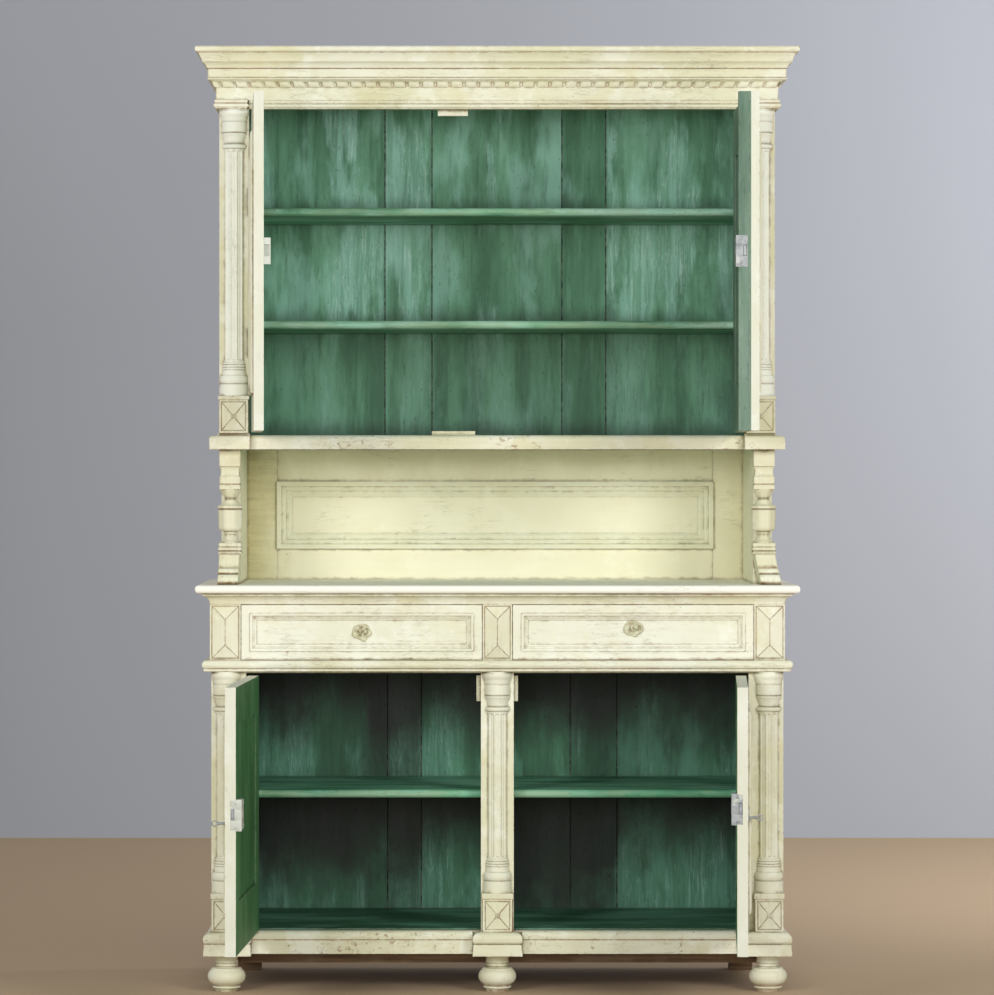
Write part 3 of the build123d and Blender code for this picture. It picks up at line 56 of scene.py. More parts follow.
REAR_REACH = 45 * MM        # how far in front of the very back cream pieces are bare behind
BASE_FRONT, BASE_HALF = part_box("base_face_frame")[0][1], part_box("base_face_frame")[1][0]
UPPER_FRONT, UPPER_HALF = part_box("upper_face_frame")[0][1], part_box("upper_face_frame")[1][0]


def paint(red, green, blue):
    """A colour given in ordinary 0-255 display values, as linear RGBA."""
    c = np.array([red, green, blue]) / 255.0
    linear = np.where(c <= 0.04045, c / 12.92, ((c + 0.055) / 1.055) ** 2.4)
    return (*linear.tolist(), 1.0)


def paints(*colours):
    return [paint(*colour) for colour in colours]


# ---------------------------------------------------------------- camera, light and room
CAMERA_PLACE = (-0.131, -10.82, 1.3244)
CAMERA_LENS = 156.3
CAMERA_SENSOR = 36.0
CAMERA_SHIFT = (0.0523, -0.0357)
WALL_Y = 4.4
ROOM_SIZE = 60.0
FLOOR_COLOUR, WALL_COLOUR = paints((190, 165, 136), (173, 178, 190))
WORLD_COLOUR, WORLD_STRENGTH = (0.99, 1.0, 0.93, 1.0), 0.42
LAMPS = (                   # name, place, aim, width and height, power
    ("left_softbox", (-2.9, -4.6, 2.3), (-0.2, 0.1, 1.2), (1.4, 1.4), 94),
    ("right_softbox", (3.0, -4.6, 2.3), (0.2, 0.1, 1.2), (1.4, 1.4), 112),
    ("front_softbox", (-0.5, -8.5, 1.6), (0, 0.1, 1.2), (2.4, 1.6), 130),
    ("wall_wash", (3.6, 1.2, 2.5), (3.0, WALL_Y, 1.2), (3.0, 1.0), 118))


def placed(name, data):
    """A new object in the scene that shows some data."""
    made = bpy.data.objects.new(name, data)
    bpy.context.scene.collection.objects.link(made)
    return made


def set_camera():
    """Long lens looking level at the front, its frame moved by a small shift."""
    lens = bpy.data.cameras.new("camera")
    lens.lens, lens.sensor_width = CAMERA_LENS, CAMERA_SENSOR
    lens.shift_x, lens.shift_y = CAMERA_SHIFT
    camera = placed("camera", lens)
    camera.location = CAMERA_PLACE
    camera.rotation_euler = (math.radians(90), 0, 0)
    bpy.context.scene.camera = camera
    bpy.context.scene.view_settings.view_transform = "Standard"


def add_lamp(name, place, aim, size, power):
    """A soft rectangular lamp that shines from place towards aim."""
    light = bpy.data.lights.new(name, "AREA")
    light.shape = "RECTANGLE"
    light.size, light.size_y = size
    light.energy = power
    lamp = placed(name, light)
    lamp.location = place
    lamp.visible_camera = False
    lamp.rotation_euler = (Vector(aim) - Vector(place)).to_track_quat("-Z", "Y").to_euler()


def plain_sheet(name, corners, colour, one_sided=False):
    """One flat quad of the room with a plain matt colour; a one-sided one is clear from behind."""
    mesh = bpy.data.meshes.new(name)
    mesh.from_pydata(corners, [], [(0, 1, 2, 3)])
    mesh.materials.append(new_material(name))
    shader = Bench.tree.nodes["Principled BSDF"]
    shader.inputs["Base Color"].default_value = colour
    shader.inputs["Roughness"].default_value = 0.9
    if one_sided:
        rear = node("NewGeometry", {}).outputs["Backfacing"]
        clear = node("BsdfTransparent", {}).outputs[0]
        choice = node("MixShader", {0: rear, 1: shader.outputs[0], 2: clear})
        put(Bench.tree.nodes["Material Output"].inputs["Surface"], choice.outputs[0])
    placed(name, mesh)


def set_room():
    """Pale floor and wall, soft lamps in front and beside, and an even world light."""
    r, y = ROOM_SIZE / 2, WALL_Y
    plain_sheet("floor", [(-r, -r, 0), (r, -r, 0), (r, y, 0), (-r, y, 0)], FLOOR_COLOUR)
    plain_sheet("wall", [(-r, y, 0), (r, y, 0), (r, y, r), (-r, y, r)], WALL_COLOUR, True)
    for lamp in LAMPS:
        add_lamp(*lamp)
    world = bpy.data.worlds.new("even_light")
    bpy.context.scene.world = world
    world.use_nodes = True
    sky = world.node_tree.nodes["Background"]
    sky.inputs["Color"].default_value = WORLD_COLOUR
    sky.inputs["Strength"].default_value = WORLD_STRENGTH


# ---------------------------------------------------------------- numbers and colours over a surface
MIX_SOCKETS = {"FLOAT": (2, 0), "VECTOR": (4, 1), "RGBA": (6, 2)}      # first input and output of each kind


class Bench:
    """Holds the node tree of the finish that is being made."""
    tree = None


def reckoning(operation, turned=False):
    """A method that makes a Math node, with its own level as the second number when turned."""
    def method(self, other=0.0):
        return calc(operation, other, self) if turned else calc(operation, self, other)
    return method


class Level:
    """A number at each point of a surface, kept in a socket; reckoning with it makes Math nodes."""

    def __init__(self, socket):
        self.socket = socket

    __add__, __radd__ = reckoning("ADD"), reckoning("ADD", True)
    __sub__, __rsub__ = reckoning("SUBTRACT"), reckoning("SUBTRACT", True)
    __mul__, __rmul__ = reckoning("MULTIPLY"), reckoning("MULTIPLY", True)
    __truediv__, __abs__ = reckoning("DIVIDE"), reckoning("ABSOLUTE")


def new_material(name):
    """A new material, its node tree laid on the bench."""
    material = bpy.data.materials.new(name)
    material.use_nodes = True
    Bench.tree = material.node_tree
    return material


def put(socket, value):
    """Sets a socket to a value, or links it to what gives the value."""
    value = getattr(value, "socket", value)
    if isinstance(value, bpy.types.NodeSocket):
        socket.id_data.links.new(value, socket)
    else:
        socket.default_value = value


def node(kind, inputs, **settings):
    """A shader node with its settings and the inputs that are given by name or number."""
    made = Bench.tree.nodes.new("ShaderNode" + kind)
    for key, value in settings.items():
        setattr(made, key, value)
    for key, value in inputs.items():
        put(made.inputs[key], value)
    return made


def calc(operation, a, b=0.0, clamp=False):
    return Level(node("Math", {0: a, 1: b}, operation=operation, use_clamp=clamp).outputs[0])


def either(a, b):
    """The larger of two shares."""
    return calc("MAXIMUM", a, b)


def ease(value, low, high):
    """0 below low, 1 above high, and a smooth step between."""
    made = node("MapRange", {"Value": value, "From Min": low, "From Max": high},
                interpolation_type="SMOOTHSTEP")
    return Level(made.outputs["Result"])


def between(value, low, high, soft=SOFT):
    """1 where a value lies between two limits."""
    return ease(value, low - soft, low + soft) * ease(value, high + soft, high - soft)


def noise(place, scale, detail=3.0, rough=0.55):
    made = node("TexNoise", {"Vector": place, "Scale": scale, "Detail": detail, "Roughness": rough})
    return Level(made.outputs["Fac"])


def patches(place, scale, detail, rough, low, high):
    """Cloudy patches: 1 where a noise is above high, 0 where it is below low."""
    return ease(noise(place, scale, detail, rough), low, high)


def mix(share, a, b, kind="RGBA"):
    """Mix of two colours, or of two numbers or vectors, by share."""
    first, result = MIX_SOCKETS[kind]
    return node("Mix", {"Factor": share, first: a, first + 1: b}, data_type=kind).outputs[result]


def laid(colour, *coats):
    """A colour with others laid over it in turn, each given as its share and its colour."""
    for share, over in coats:
        colour = mix(share, colour, over)
    return colour


def parts_of(vector):
    """The x, y and z of a vector."""
    return [Level(socket) for socket in node("SeparateXYZ", {0: vector}).outputs]


def moved(place, x=0.0, y=0.0, z=0.0):
    """Coordinates shifted by a step that may differ from place to place."""
    step = node("CombineXYZ", {0: x, 1: y, 2: z}).outputs[0]
    return node("VectorMath", {0: place, 1: step}, operation="ADD").outputs[0]


def stretched(place, along, squeeze, shift=0.0):
    """Coordinates squeezed along one axis, so that a pattern on them runs along it."""
    scale = [squeeze if axis == along else 1.0 for axis in "XYZ"]
    return node("Mapping", {"Vector": place, "Scale": scale, "Location": (shift,) * 3}).outputs[0]


def true_normal():
    return node("NewGeometry", {}).outputs["Normal"]


def crevices(reach):
    """1 in grooves and inner corners closer than reach, 0 on open faces."""
    made = node("AmbientOcclusion", {"Distance": reach}, samples=6, only_local=False)
    return calc("SUBTRACT", 1.0, made.outputs["AO"], clamp=True)


def edges(radius):
    """1 along sharp outer and inner edges: how far the rounded normal leaves the true one."""
    soft = node("Bevel", {"Radius": radius}, samples=4).outputs[0]
    meet = node("VectorMath", {0: soft, 1: true_normal()}, operation="DOT_PRODUCT").outputs["Value"]
    return ease(1.0 - Level(meet), 0.015, 0.22)


def hair_lines(grain, scale, width):
    """Thin long lines: where a stretched noise passes through its middle value."""
    away = abs(noise(grain, scale, 4.0, 0.6) - 0.5)
    return 1.0 - ease(away, width * 0.3, width)


# ---------------------------------------------------------------- cream paint
CREAM, CREAM_LIGHT = paints((221, 220, 189), (232, 232, 213))
BRUSHED = paint(204, 200, 160)
OCHRE = paint(216, 209, 159)
THIN_WHITE = paint(240, 242, 227)
COOL_EDGE = paint(203, 209, 203)
FAIR = paint(246, 250, 239)
FAIR_YELLOW = paint(247, 243, 208)
FAIR_WARM = paint(246, 243, 216)
FAIR_NICHE = paint(254, 248, 216)
FAIR_COUNTER = paint(250, 249, 240)
FAIR_CASTING = paint(200, 202, 164)
OCHRE_SHADES = paints((188, 176, 122), (206, 196, 144))
OLIVE_DIRT_AND_SHADE = paint(178, 162, 106)
GROOVE_DIRT = paints((124, 114, 68), (136, 100, 66))
CARVED_DIRT = paint(112, 98, 62)
CRACK = paint(138, 126, 90)
RUBBED_EDGE_AND_HIGHLIGHT = paint(240, 239, 226)
CHIPPED = paint(168, 140, 110)
SHADE_HAZE_REACH, GROOVE_REACH = 30 * MM, 10 * MM         # how far painted shade with olive dirt, and the dirt of grooves, spread out of inner corners
CREAM_EDGE = 4 * MM                                 # how wide worn edges and their painted highlight are


class Coat:
    """Colour, roughness and relief of one finish."""

    def __init__(self, colour, rough, relief):
        self.colour, self.rough, self.relief = colour, rough, relief


def layered(share, under, over):
    """One finish over another where share is 1."""
    return Coat(mix(share, under.colour, over.colour), mix(share, under.rough, over.rough, "FLOAT"),
                mix(share, under.relief, over.relief, "FLOAT"))


def cream_grain(place, facing, along, level):
    """The direction of brush lines and cracks: along the piece, and along the rails of mixed nodes;
    a level piece's ends and returns have it running back instead."""
    grain = stretched(place, along, BRUSH_SQUEEZE)
    turns = []
    if along == "X":
        turns.append((ease(abs(parts_of(facing)[0]), 0.6, 0.8), "Y"))
    if level is not None:
        turns.append((level, "X"))
    for share, axis in turns:
        grain = mix(share, grain, stretched(place, axis, BRUSH_SQUEEZE), "VECTOR")
    return grain


def cream_coat(place, facing, along, level=None, wear=0.0, chips=0.0, pale=0.0, grime=1.0, lift=0.0,
               fair=FAIR, warm=None, carved=0.0):
    """Old cream paint: soft blotches, brush lines, olive dirt and painted shade in hollows, dirt in grooves,
    hair cracks, edges rubbed paler with a painted highlight, bare chips; lift is the share of a fairer shade
    (painted light on some pieces), the ochre share is that of a painted ochre shade, and carved darkens fine
    grooves."""
    grain = cream_grain(place, facing, along, level)
    brush, patch = noise(grain, 95.0, 4.0, 0.6), noise(place, 34.0, 5.0, 0.7)
    colour = laid(mix(patches(place, 3.1, 4.0, 0.6, 0.36, 0.64), CREAM, CREAM_LIGHT),
                  (ease(brush, 0.42, 0.72) * 0.22, BRUSHED),
                  (patches(place, 6.4, 5.0, 0.62, 0.53, 0.66) * 0.42, OCHRE),
                  (patches(place, 12.0, 5.0, 0.65, 0.52, 0.64) * 0.6, THIN_WHITE),
                  (pale, COOL_EDGE), (lift, fair))
    # painted ochre shade, where that share is given
    if warm is not None:
        colour = mix(warm, colour, mix(ease(brush, 0.3, 0.7), *OCHRE_SHADES))
    # the haze is olive dirt together with painted shade in wide hollows; the line is dirt in grooves
    shade_haze = crevices(SHADE_HAZE_REACH) + (patch - 0.5) * 0.8
    line = ease(crevices(GROOVE_REACH) + (patch - 0.52) * 0.9, 0.11, 0.38)
    broken = 0.48 + patches(grain, 34.0, 4.0, 0.6, 0.4, 0.6) * 0.46
    colour = laid(colour, (ease(shade_haze, 0.4, 1.1) * (0.42 * grime), OLIVE_DIRT_AND_SHADE),
                  (line * broken * grime, mix(patches(grain, 21.0, 3.0, 0.55, 0.46, 0.58), *GROOVE_DIRT)))
    if carved:
        sunk = ease(node("NewGeometry", {}).outputs["Pointiness"], 0.49, 0.45)
        colour = mix(sunk * carved, colour, CARVED_DIRT)
    worn = patches(place, 7.0, 4.0, 0.65, 0.54 - 0.12 * wear, 0.68 - 0.1 * wear)
    split = hair_lines(grain, 90.0, 0.008) * worn
    edge = edges(CREAM_EDGE)
    spot = noise(place, 75.0, 5.0, 0.7)
    bare = either(edge * ease(spot, 0.54 - 0.1 * wear, 0.6 - 0.1 * wear),
                  worn * ease(spot, 0.68 - 0.1 * chips, 0.71 - 0.1 * chips))
    # edges are rubbed paler: worn paint together with a painted highlight
    colour = laid(colour, (split * 0.4, CRACK), (edge * 0.45, RUBBED_EDGE_AND_HIGHLIGHT), (bare * 0.8, CHIPPED))
    return Coat(colour, 0.5 + brush * 0.25, brush * 0.35 - (split * 0.8 + bare))


# ---------------------------------------------------------------- green paint, wood and iron
BOARD_STEPS = (0.45, -0.3, -0.25, 0.4)      # how the shade changes from one board to the next
OPEN_GREENS = paints((72, 124, 92), (122, 178, 144), (170, 222, 204), (206, 238, 228))
WORN_GREENS = paints((74, 104, 86), (108, 140, 120), (138, 164, 148), (168, 188, 174))
DEEP_GREENS = paints((42, 88, 62), (70, 124, 92), (114, 172, 150), (160, 204, 190))
SHELF_GREENS = paints((64, 132, 98), (104, 174, 138), (144, 204, 176), (178, 220, 202))
FRESH_GREENS = paints((50, 94, 54), (76, 128, 80), (112, 158, 112), (160, 196, 160))
GREEN_SOIL = paint(18, 30, 20)
GREEN_SPECK = paint(48, 66, 48)
GREEN_CORNER_SHADE = paint(44, 66, 50)
GREEN_GRIME_AND_SHADE = paint(24, 34, 27)
BARE_EDGE = paint(206, 196, 168)
SOOT_AND_SHADE = paint(22, 24, 18)
HANDLED = paint(168, 184, 152)              # cream and grease on the front edges of the shelves
CORNER_REACH, SEAM_REACH = 90 * MM, 8 * MM
GREEN_EDGE = 3 * MM
WOOD = paints((92, 70, 50), (136, 108, 78))
WOOD_GREY, KNOT, DUST = paints((112, 92, 70), (64, 44, 30), (150, 134, 112))
WOOD_SEAM = paint(30, 22, 16)
IRON_GREYS = paints((138, 143, 146), (168, 174, 177))
RUST, SPLASH, SPLASHED = paints((116, 96, 80), (204, 208, 200), (228, 233, 216))
IRON_GRIME, IRON_REACH = paint(58, 52, 46), 4 * MM


def board_tone(place, seams):
    """A shade from 0 to 1 that changes at each seam between upright boards."""
    x = parts_of(place)[0]
    tone = 0.35
    for step, seam in zip(BOARD_STEPS, seams):
        tone = tone + ease(x, seam * MM - SOFT, seam * MM + SOFT) * step
    return tone


def seam_lines(place, seams):
    """1 in the dark joints between upright boards."""
    x = parts_of(place)[0]
    lines = 0.0
    for seam in seams:
        lines = either(lines, ease(abs(x - seam * MM), 2.6 * MM, 1.2 * MM))
    return lines


def green_coat(place, along, dark=0.0, seams=(), rubbed=1.0, greens=OPEN_GREENS):
    """Brushed green paint, each board of its own shade: long streaks rubbed down to a lighter
    turquoise in cloudy zones, specks, dark dirt in seams with painted shade in tight corners, painted shade
    in wide corners, and the sooty dirt and painted shade given by dark."""
    low, high, rubbed_to, brightest = greens
    board = board_tone(place, seams) if seams else 0.5
    own = moved(place, board * 3.0, 0.0, board * 1.7)
    grain, fine = stretched(own, along, 0.11), stretched(own, along, 0.05, 3.0)
    wide = noise(grain, 19.0, 6.0, 0.68)
    differ = (board - 0.5) * 0.16
    zone = noise(stretched(own, along, 0.32, 11.0), 6.5, 4.0, 0.6)
    cloud = ease(noise(stretched(own, along, 0.26, 7.0), 8.5, 5.0, 0.6) + differ, 0.48, 0.59) * rubbed
    rub = 0.3 + patches(fine, 60.0, 6.0, 0.7, 0.4, 0.6) * 0.6
    scratch = hair_lines(stretched(own, along, 0.12, 5.0), 50.0, 0.018) * cloud
    soil = patches(grain, 36.0, 6.0, 0.72, 0.55, 0.7) * (1.0 - cloud * 0.6)
    speck = patches(stretched(own, along, 0.4), 170.0, 3.0, 0.7, 0.64, 0.68)
    # dark joints and dirt, with painted shade in tight inner corners
    grime = ease(crevices(SEAM_REACH), 0.22, 0.6)
    if seams:
        grime = either(grime, seam_lines(place, seams))
    edge = edges(GREEN_EDGE) * patches(place, 45.0, 4.0, 0.7, 0.4, 0.58)
    colour = laid(mix(ease(wide + differ, 0.28, 0.62), low, high),
                  (ease(zone, 0.5, 0.4) * 0.5, low),
                  (ease(zone, 0.51, 0.64) * 0.6 * rubbed, rubbed_to),
                  (rub * cloud * 0.8, rubbed_to),
                  (cloud * patches(fine, 95.0, 4.0, 0.7, 0.58, 0.66) * 0.55, brightest),
                  (scratch * 0.36, brightest),
                  (soil * 0.5, mix(0.35, low, GREEN_SOIL)),
                  (speck * 0.45, GREEN_SPECK),
                  # painted shade in wide inner corners
                  (ease(crevices(CORNER_REACH), 0.34, 0.95) * 0.55, GREEN_CORNER_SHADE),
                  (grime * 0.88, GREEN_GRIME_AND_SHADE),
                  (edge * 0.7, mix(0.4, brightest, BARE_EDGE)),
                  (dark, SOOT_AND_SHADE))
    return Coat(colour, 0.42 + wide * 0.25, noise(fine, 70.0) * 0.6 - speck)


def wood_coat(place, along, seams=()):
    """Bare softwood darkened by age, each board of its own shade, with wavy grain lines, a few knots
    and dusty patches."""
    board = board_tone(place, seams) if seams else 0.4
    own = moved(place, noise(stretched(place, along, 0.3), 9.0) * 0.05, board * 2.0)
    line = noise(stretched(own, along, 0.04), 110.0, 5.0, 0.7)
    colour = laid(mix(ease(line, 0.35, 0.65), *WOOD), (board * 0.5, WOOD_GREY),
                  (patches(stretched(own, along, 0.45), 13.0, 1.0, 0.3, 0.74, 0.8) * 0.7, KNOT),
                  (patches(place, 8.0, 3.0, 0.55, 0.5, 0.75) * 0.35, DUST))
    if seams:
        colour = mix(seam_lines(place, seams), colour, WOOD_SEAM)
    return Coat(colour, 0.72 + line * 0.15, line)


def iron_coat(place, painted):
    """Worn grey iron with paler rubbed patches, brown spots and splashes of cream paint."""
    patch = noise(place, 60.0, 4.0, 0.6)
    colour = laid(mix(ease(patch, 0.35, 0.65), *IRON_GREYS),
                  (patches(place, 260.0, 4.0, 0.7, 0.66, 0.74) * 0.6, RUST),
                  (patches(place, 45.0, 3.0, 0.6, 0.56, 0.66) * 0.6, SPLASH), (painted, SPLASHED),
                  (ease(crevices(IRON_REACH), 0.35, 0.9) * 0.7, IRON_GRIME))
    return Coat(colour, 0.38 + patch * 0.3, patch)


# ---------------------------------------------------------------- materials
BUMP_DEPTH, FINE_DEPTH, BUMP_STRENGTH = 0.6 * MM, 0.4 * MM, 0.6
GLOSS = 0.35
IRON_METAL = 0.3


def new_finish(name):
    """A new material on the bench, with its position and normal in the piece's own space."""
    material = new_material(name)
    place = node("TexCoord", {}).outputs["Object"]
    facing = node("VectorTransform", {0: true_normal()}, vector_type="NORMAL", convert_from="WORLD",
                  convert_to="OBJECT").outputs[0]
    return material, place, facing


def finished(material, coat, depth=BUMP_DEPTH, metal=0.0):
    """Sends a finish to the shader, its relief as bump of that depth."""
    shader = Bench.tree.nodes["Principled BSDF"]
    put(shader.inputs["Base Color"], coat.colour)
    put(shader.inputs["Roughness"], coat.rough)
    shader.inputs["Metallic"].default_value = metal
    shader.inputs["Specular IOR Level"].default_value = GLOSS
    bump = node("Bump", {"Height": coat.relief, "Distance": depth, "Strength": BUMP_STRENGTH})
    put(shader.inputs["Normal"], bump.outputs[0])
    return material


def rear_faces(place, facing, reach=2 * MM):
    """1 on faces that look backwards within a reach of the very back of the cupboard."""
    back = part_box("base_back_boards")[1][1] - reach
    return ease(parts_of(place)[1], back, back + 1 * MM) * ease(parts_of(facing)[1], 0.4, 0.6)


def cream_material(name, along, level=None, wear=0.0, **more):
    """Cream paint, bare wood at the very back; level gives the rails of a mixed node."""
    material, place, facing = new_finish(name)
    share = level(place) if level else None
    more = {key: value(place) if callable(value) else value for key, value in more.items()}
    coat = cream_coat(place, facing, along, share, wear, **more)
    return finished(material, layered(rear_faces(place, facing, REAR_REACH), coat, wood_coat(place, along)))


def green_material(name, along, dark=0.0, bare=None, seams=(), greens=OPEN_GREENS, front=0.0, rubbed=1.0):
    """Green paint; bare gives the faces that were never painted, and front is how far the cream of
    hands and cloths has worn into the front edges."""
    material, place, facing = new_finish(name)
    shade, worn = (value(place) if callable(value) else value for value in (dark, rubbed))
    coat = green_coat(place, along, shade, seams, worn, greens)
    if front:
        pale = patches(stretched(place, along, 0.25), 30.0, 5.0, 0.65, 0.36, 0.6)
        coat.colour = mix(pale * ease(parts_of(facing)[1], -0.3, -0.8) * front, coat.colour, HANDLED)
    if bare:
        coat = layered(bare(place, facing), coat, wood_coat(place, along, seams))
    return finished(material, coat)


def side_material(name, half, dark, greens):
    """Cream outside and green inside, parted at a distance from the middle."""
    material, place, facing = new_finish(name)
    inside = ease(abs(parts_of(place)[0]), half + SOFT, half - SOFT)
    coat = layered(inside, cream_coat(place, facing, "Z"), green_coat(place, "Z", dark, (), 1.0, greens))
    return finished(material, layered(rear_faces(place, facing), coat, wood_coat(place, "Z")))


def wood_material(name, along):
    material, place, _ = new_finish(name)
    return finished(material, wood_coat(place, along), FINE_DEPTH)


def iron_material(name, painted=0.0):
    """Iron, with cream paint over a share of it."""
    material, place, _ = new_finish(name)
    return finished(material, iron_coat(place, painted), FINE_DEPTH, IRON_METAL * (1 - painted))


# ---------------------------------------------------------------- doors
STILE_W = 90 * MM           # where a door's rails end, from its upright edges
OPENING_IN = 72 * MM        # where the opening for its panel begins
PANEL_TUCK = 20 * MM        # how far the panel's field reaches above and below that
PANEL_SUNK = 18 * MM        # how deep the panel's outer face lies


def joint_of(name):
    return next(j for j in frame["record"]["behaviour"]["joints"] if j["name"] == name)


def closed_space(place, facing, door):
    """A door's points and normals turned back to where they are when it is shut."""
    joint = joint_of(door + "_hinge")
    turn = math.radians(joint["range_deg"][0]) * joint["axis"][2]
    px, py, _ = joint["pos_m"]
    shift = (px - px * math.cos(turn) + py * math.sin(turn),
             py - px * math.sin(turn) - py * math.cos(turn), 0.0)
    turned = node("Mapping", {"Vector": place, "Rotation": (0, 0, turn), "Location": shift})
    normal = node("Mapping", {"Vector": facing, "Rotation": (0, 0, turn)}, vector_type="VECTOR")
    return turned.outputs[0], normal.outputs[0]


def door_material(door, front, edge, dark, rubbed, greens):
    """Cream outer face and edges, green inner face; edge is how deep the cream goes from the front,
    less within the opening of the panel."""
    material, place, facing = new_finish(door + "_paint")
    shut, normal = closed_space(place, facing, door)
    low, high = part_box(door + "_frame")
    panel_low, panel_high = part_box(door + "_panel")
    x, y, z = parts_of(shut)
    x, facing_y = abs(x), parts_of(normal)[1]
    hinge = abs(joint_of(door + "_hinge")["pos_m"][0])
    free = hinge - math.hypot(high[0] - low[0], high[1] - low[1])
    outside_panel = 1.0 - between(z, panel_low[2] + PANEL_TUCK, panel_high[2] - PANEL_TUCK)
    rail = between(x, free + STILE_W, hinge - STILE_W)
    narrow = ease(abs(facing_y), 0.6, 0.4)
    outer = cream_coat(shut, normal, "Z", outside_panel * rail, pale=narrow * 0.5)
    opening = between(x, free + OPENING_IN, hinge - OPENING_IN) * between(z, panel_low[2], panel_high[2])
    recess = opening * ease(y, front + PANEL_SUNK, front + PANEL_SUNK + 1 * MM)
    inner = either(ease(facing_y, 0.4, 0.6), ease(y, front + edge - SOFT, front + edge + SOFT))
    return finished(material, layered(either(inner, recess), outer,
                                      green_coat(shut, "Z", dark, (), rubbed, greens)))


# ---------------------------------------------------------------- meshes from surfaces
def shell(points, wrap_rows=False, wrap_columns=False):
    """Corners and quads of a surface given as an array of rows and columns of points."""
    rows, columns = points.shape[:2]
    index = np.arange(rows * columns).reshape(rows, columns)
    if wrap_rows:
        index = np.concatenate([index, index[:1]])
    if wrap_columns:
        index = np.concatenate([index, index[:, :1]], axis=1)
    a, b = index[:-1, :-1], index[1:, :-1]
    c, d = index[1:, 1:], index[:-1, 1:]
    return points.reshape(-1, 3), np.stack([a, b, c, d], axis=-1).reshape(-1, 4)


def lay(x, y, z):
    """Points from three arrays of coordinates, each spread over the whole grid."""
    return np.stack(np.broadcast_arrays(x, y, z), axis=-1)


def full_turn(steps):
    """Angles once round, as columns of a grid."""
    return np.linspace(0, 2 * math.pi, steps + 1)[None, :-1]


def others(axis):
    """The two axes beside one."""
    return [k for k in range(3) if k != axis]


def point_row(point, grid):
    """A row that repeats one point, put before or after a grid to close it."""
    return np.broadcast_to(np.array(point, float), grid[:1].shape)


def capped(points):
    """The same surface with its first and last rows drawn together to their middle points."""
    first, last = points[0].mean(axis=0), points[-1].mean(axis=0)
    return np.concatenate([point_row(first, points), points, point_row(last, points)])


def closed_block(grid, back):
    """A relief grid with its border carried straight back to a plane, and a flat back."""
    rim = np.pad(grid, ((1, 1), (1, 1), (0, 0)), mode="edge")
    rim[[0, -1], :, 1] = back
    rim[:, [0, -1], 1] = back
    return [shell(rim), shell(rim[[0, -1]][:, [0, -1]])]


def make_piece(name, shells, body, material, replaced, crease):
    """One welded mesh from several shells, riding on a body, with smooth faces and sharp creases."""
    corners, quads, start = [], [], 0
    for points, faces in shells:
        corners.append(points)
        quads.append(faces + start)
        start += len(points)
    mesh = bpy.data.meshes.new(name)
    mesh.from_pydata(np.concatenate(corners).tolist(), [], np.concatenate(quads).tolist())
    work = bmesh.new()
    work.from_mesh(mesh)
    bmesh.ops.remove_doubles(work, verts=work.verts, dist=1e-6)
    bmesh.ops.dissolve_degenerate(work, edges=work.edges, dist=1e-7)
    bmesh.ops.recalc_face_normals(work, faces=work.faces)
    work.to_mesh(mesh)
    work.free()
    mesh.shade_smooth()
    mesh.set_sharp_from_angle(angle=math.radians(crease))
    mesh.materials.append(material)
    piece = placed(name, mesh)
    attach(piece, body)
    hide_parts(*replaced)


def bend(start, middle, end, count=7):
    """Points of a quadratic curve from start to end that passes through middle at its half."""
    start, middle, end = map(np.array, (start, middle, end))
    pull = 2 * middle - (start + end) / 2
    t = np.linspace(0, 1, count)[1:, None]
    return (1 - t) ** 2 * start + 2 * t * (1 - t) * pull + t ** 2 * end


def profile(*steps):
    """Polyline of a section: a pair is the next corner, two pairs are a curve's middle and end."""
    points = [np.array([steps[0]], float)]
    for step in steps[1:]:
        if isinstance(step[0], tuple):
            points.append(bend(points[-1][-1], step[0], step[1]))
        else:
            points.append(np.array([step], float))
    return np.concatenate(points)


# ---------------------------------------------------------------- cut blocks under the columns
POST_W, UPPER_POST_W = 74 * MM, 74.5 * MM
BLOCK_H, BLOCK_CAP_H = 82 * MM, 14 * MM
UPPER_CUT_H, UPPER_CAP_H = 84 * MM, 9 * MM
BLOCK_D = 28 * MM           # how far a block stands out of its post
CUT_BORDER = 6 * MM
CUT_RISE = 4 * MM
PETAL_R, PETAL_RISE = 9 * MM, 3.2 * MM
SCORE_W, SCORE_DEEP, RIM_SCORE_DEEP = 1.1 * MM, 2.0 * MM, 1.8 * MM


def scored(away):
    """Depth of a cut line from 0 to 1: a bell curve of the distance from its middle."""
    return np.exp(-(away / SCORE_W) ** 2)


def cut_face(width, height):
    """Relief of a block's face: a low pyramid inside a flat border, scored along both diagonals and
    round the border, with a small four-petalled boss in the middle."""
    x = np.linspace(-width / 2, width / 2, 121)[None, :]
    z = np.linspace(-height / 2, height / 2, 121)[:, None]
    a, b = width / 2 - CUT_BORDER, height / 2 - CUT_BORDER
    across, up = np.abs(x) / a, np.abs(z) / b
    ring = np.maximum(across, up)
    relief = CUT_RISE * np.clip(1 - ring, 0, None)
    diagonal = np.abs(across - up) * a * b / math.hypot(a, b)
    relief -= SCORE_DEEP * scored(diagonal) * (ring < 1)
    relief -= RIM_SCORE_DEEP * scored((ring - 1) * a)
    r, turn = np.hypot(x, z), np.arctan2(z, x)
    petal = PETAL_R * (0.72 + 0.28 * np.cos(4 * turn + math.pi))
    relief += PETAL_RISE * np.sqrt(np.clip(1 - (r / petal) ** 2, 0, 1))
    return x, z, relief


def cut_block(x, front, z0, width, height):
    """The cut face, carried back to the post: its border continues as the block's four sides."""
    px, pz, relief = cut_face(width, height)
    return closed_block(lay(x + px, front - BLOCK_D - relief, z0 + height / 2 + pz), front)


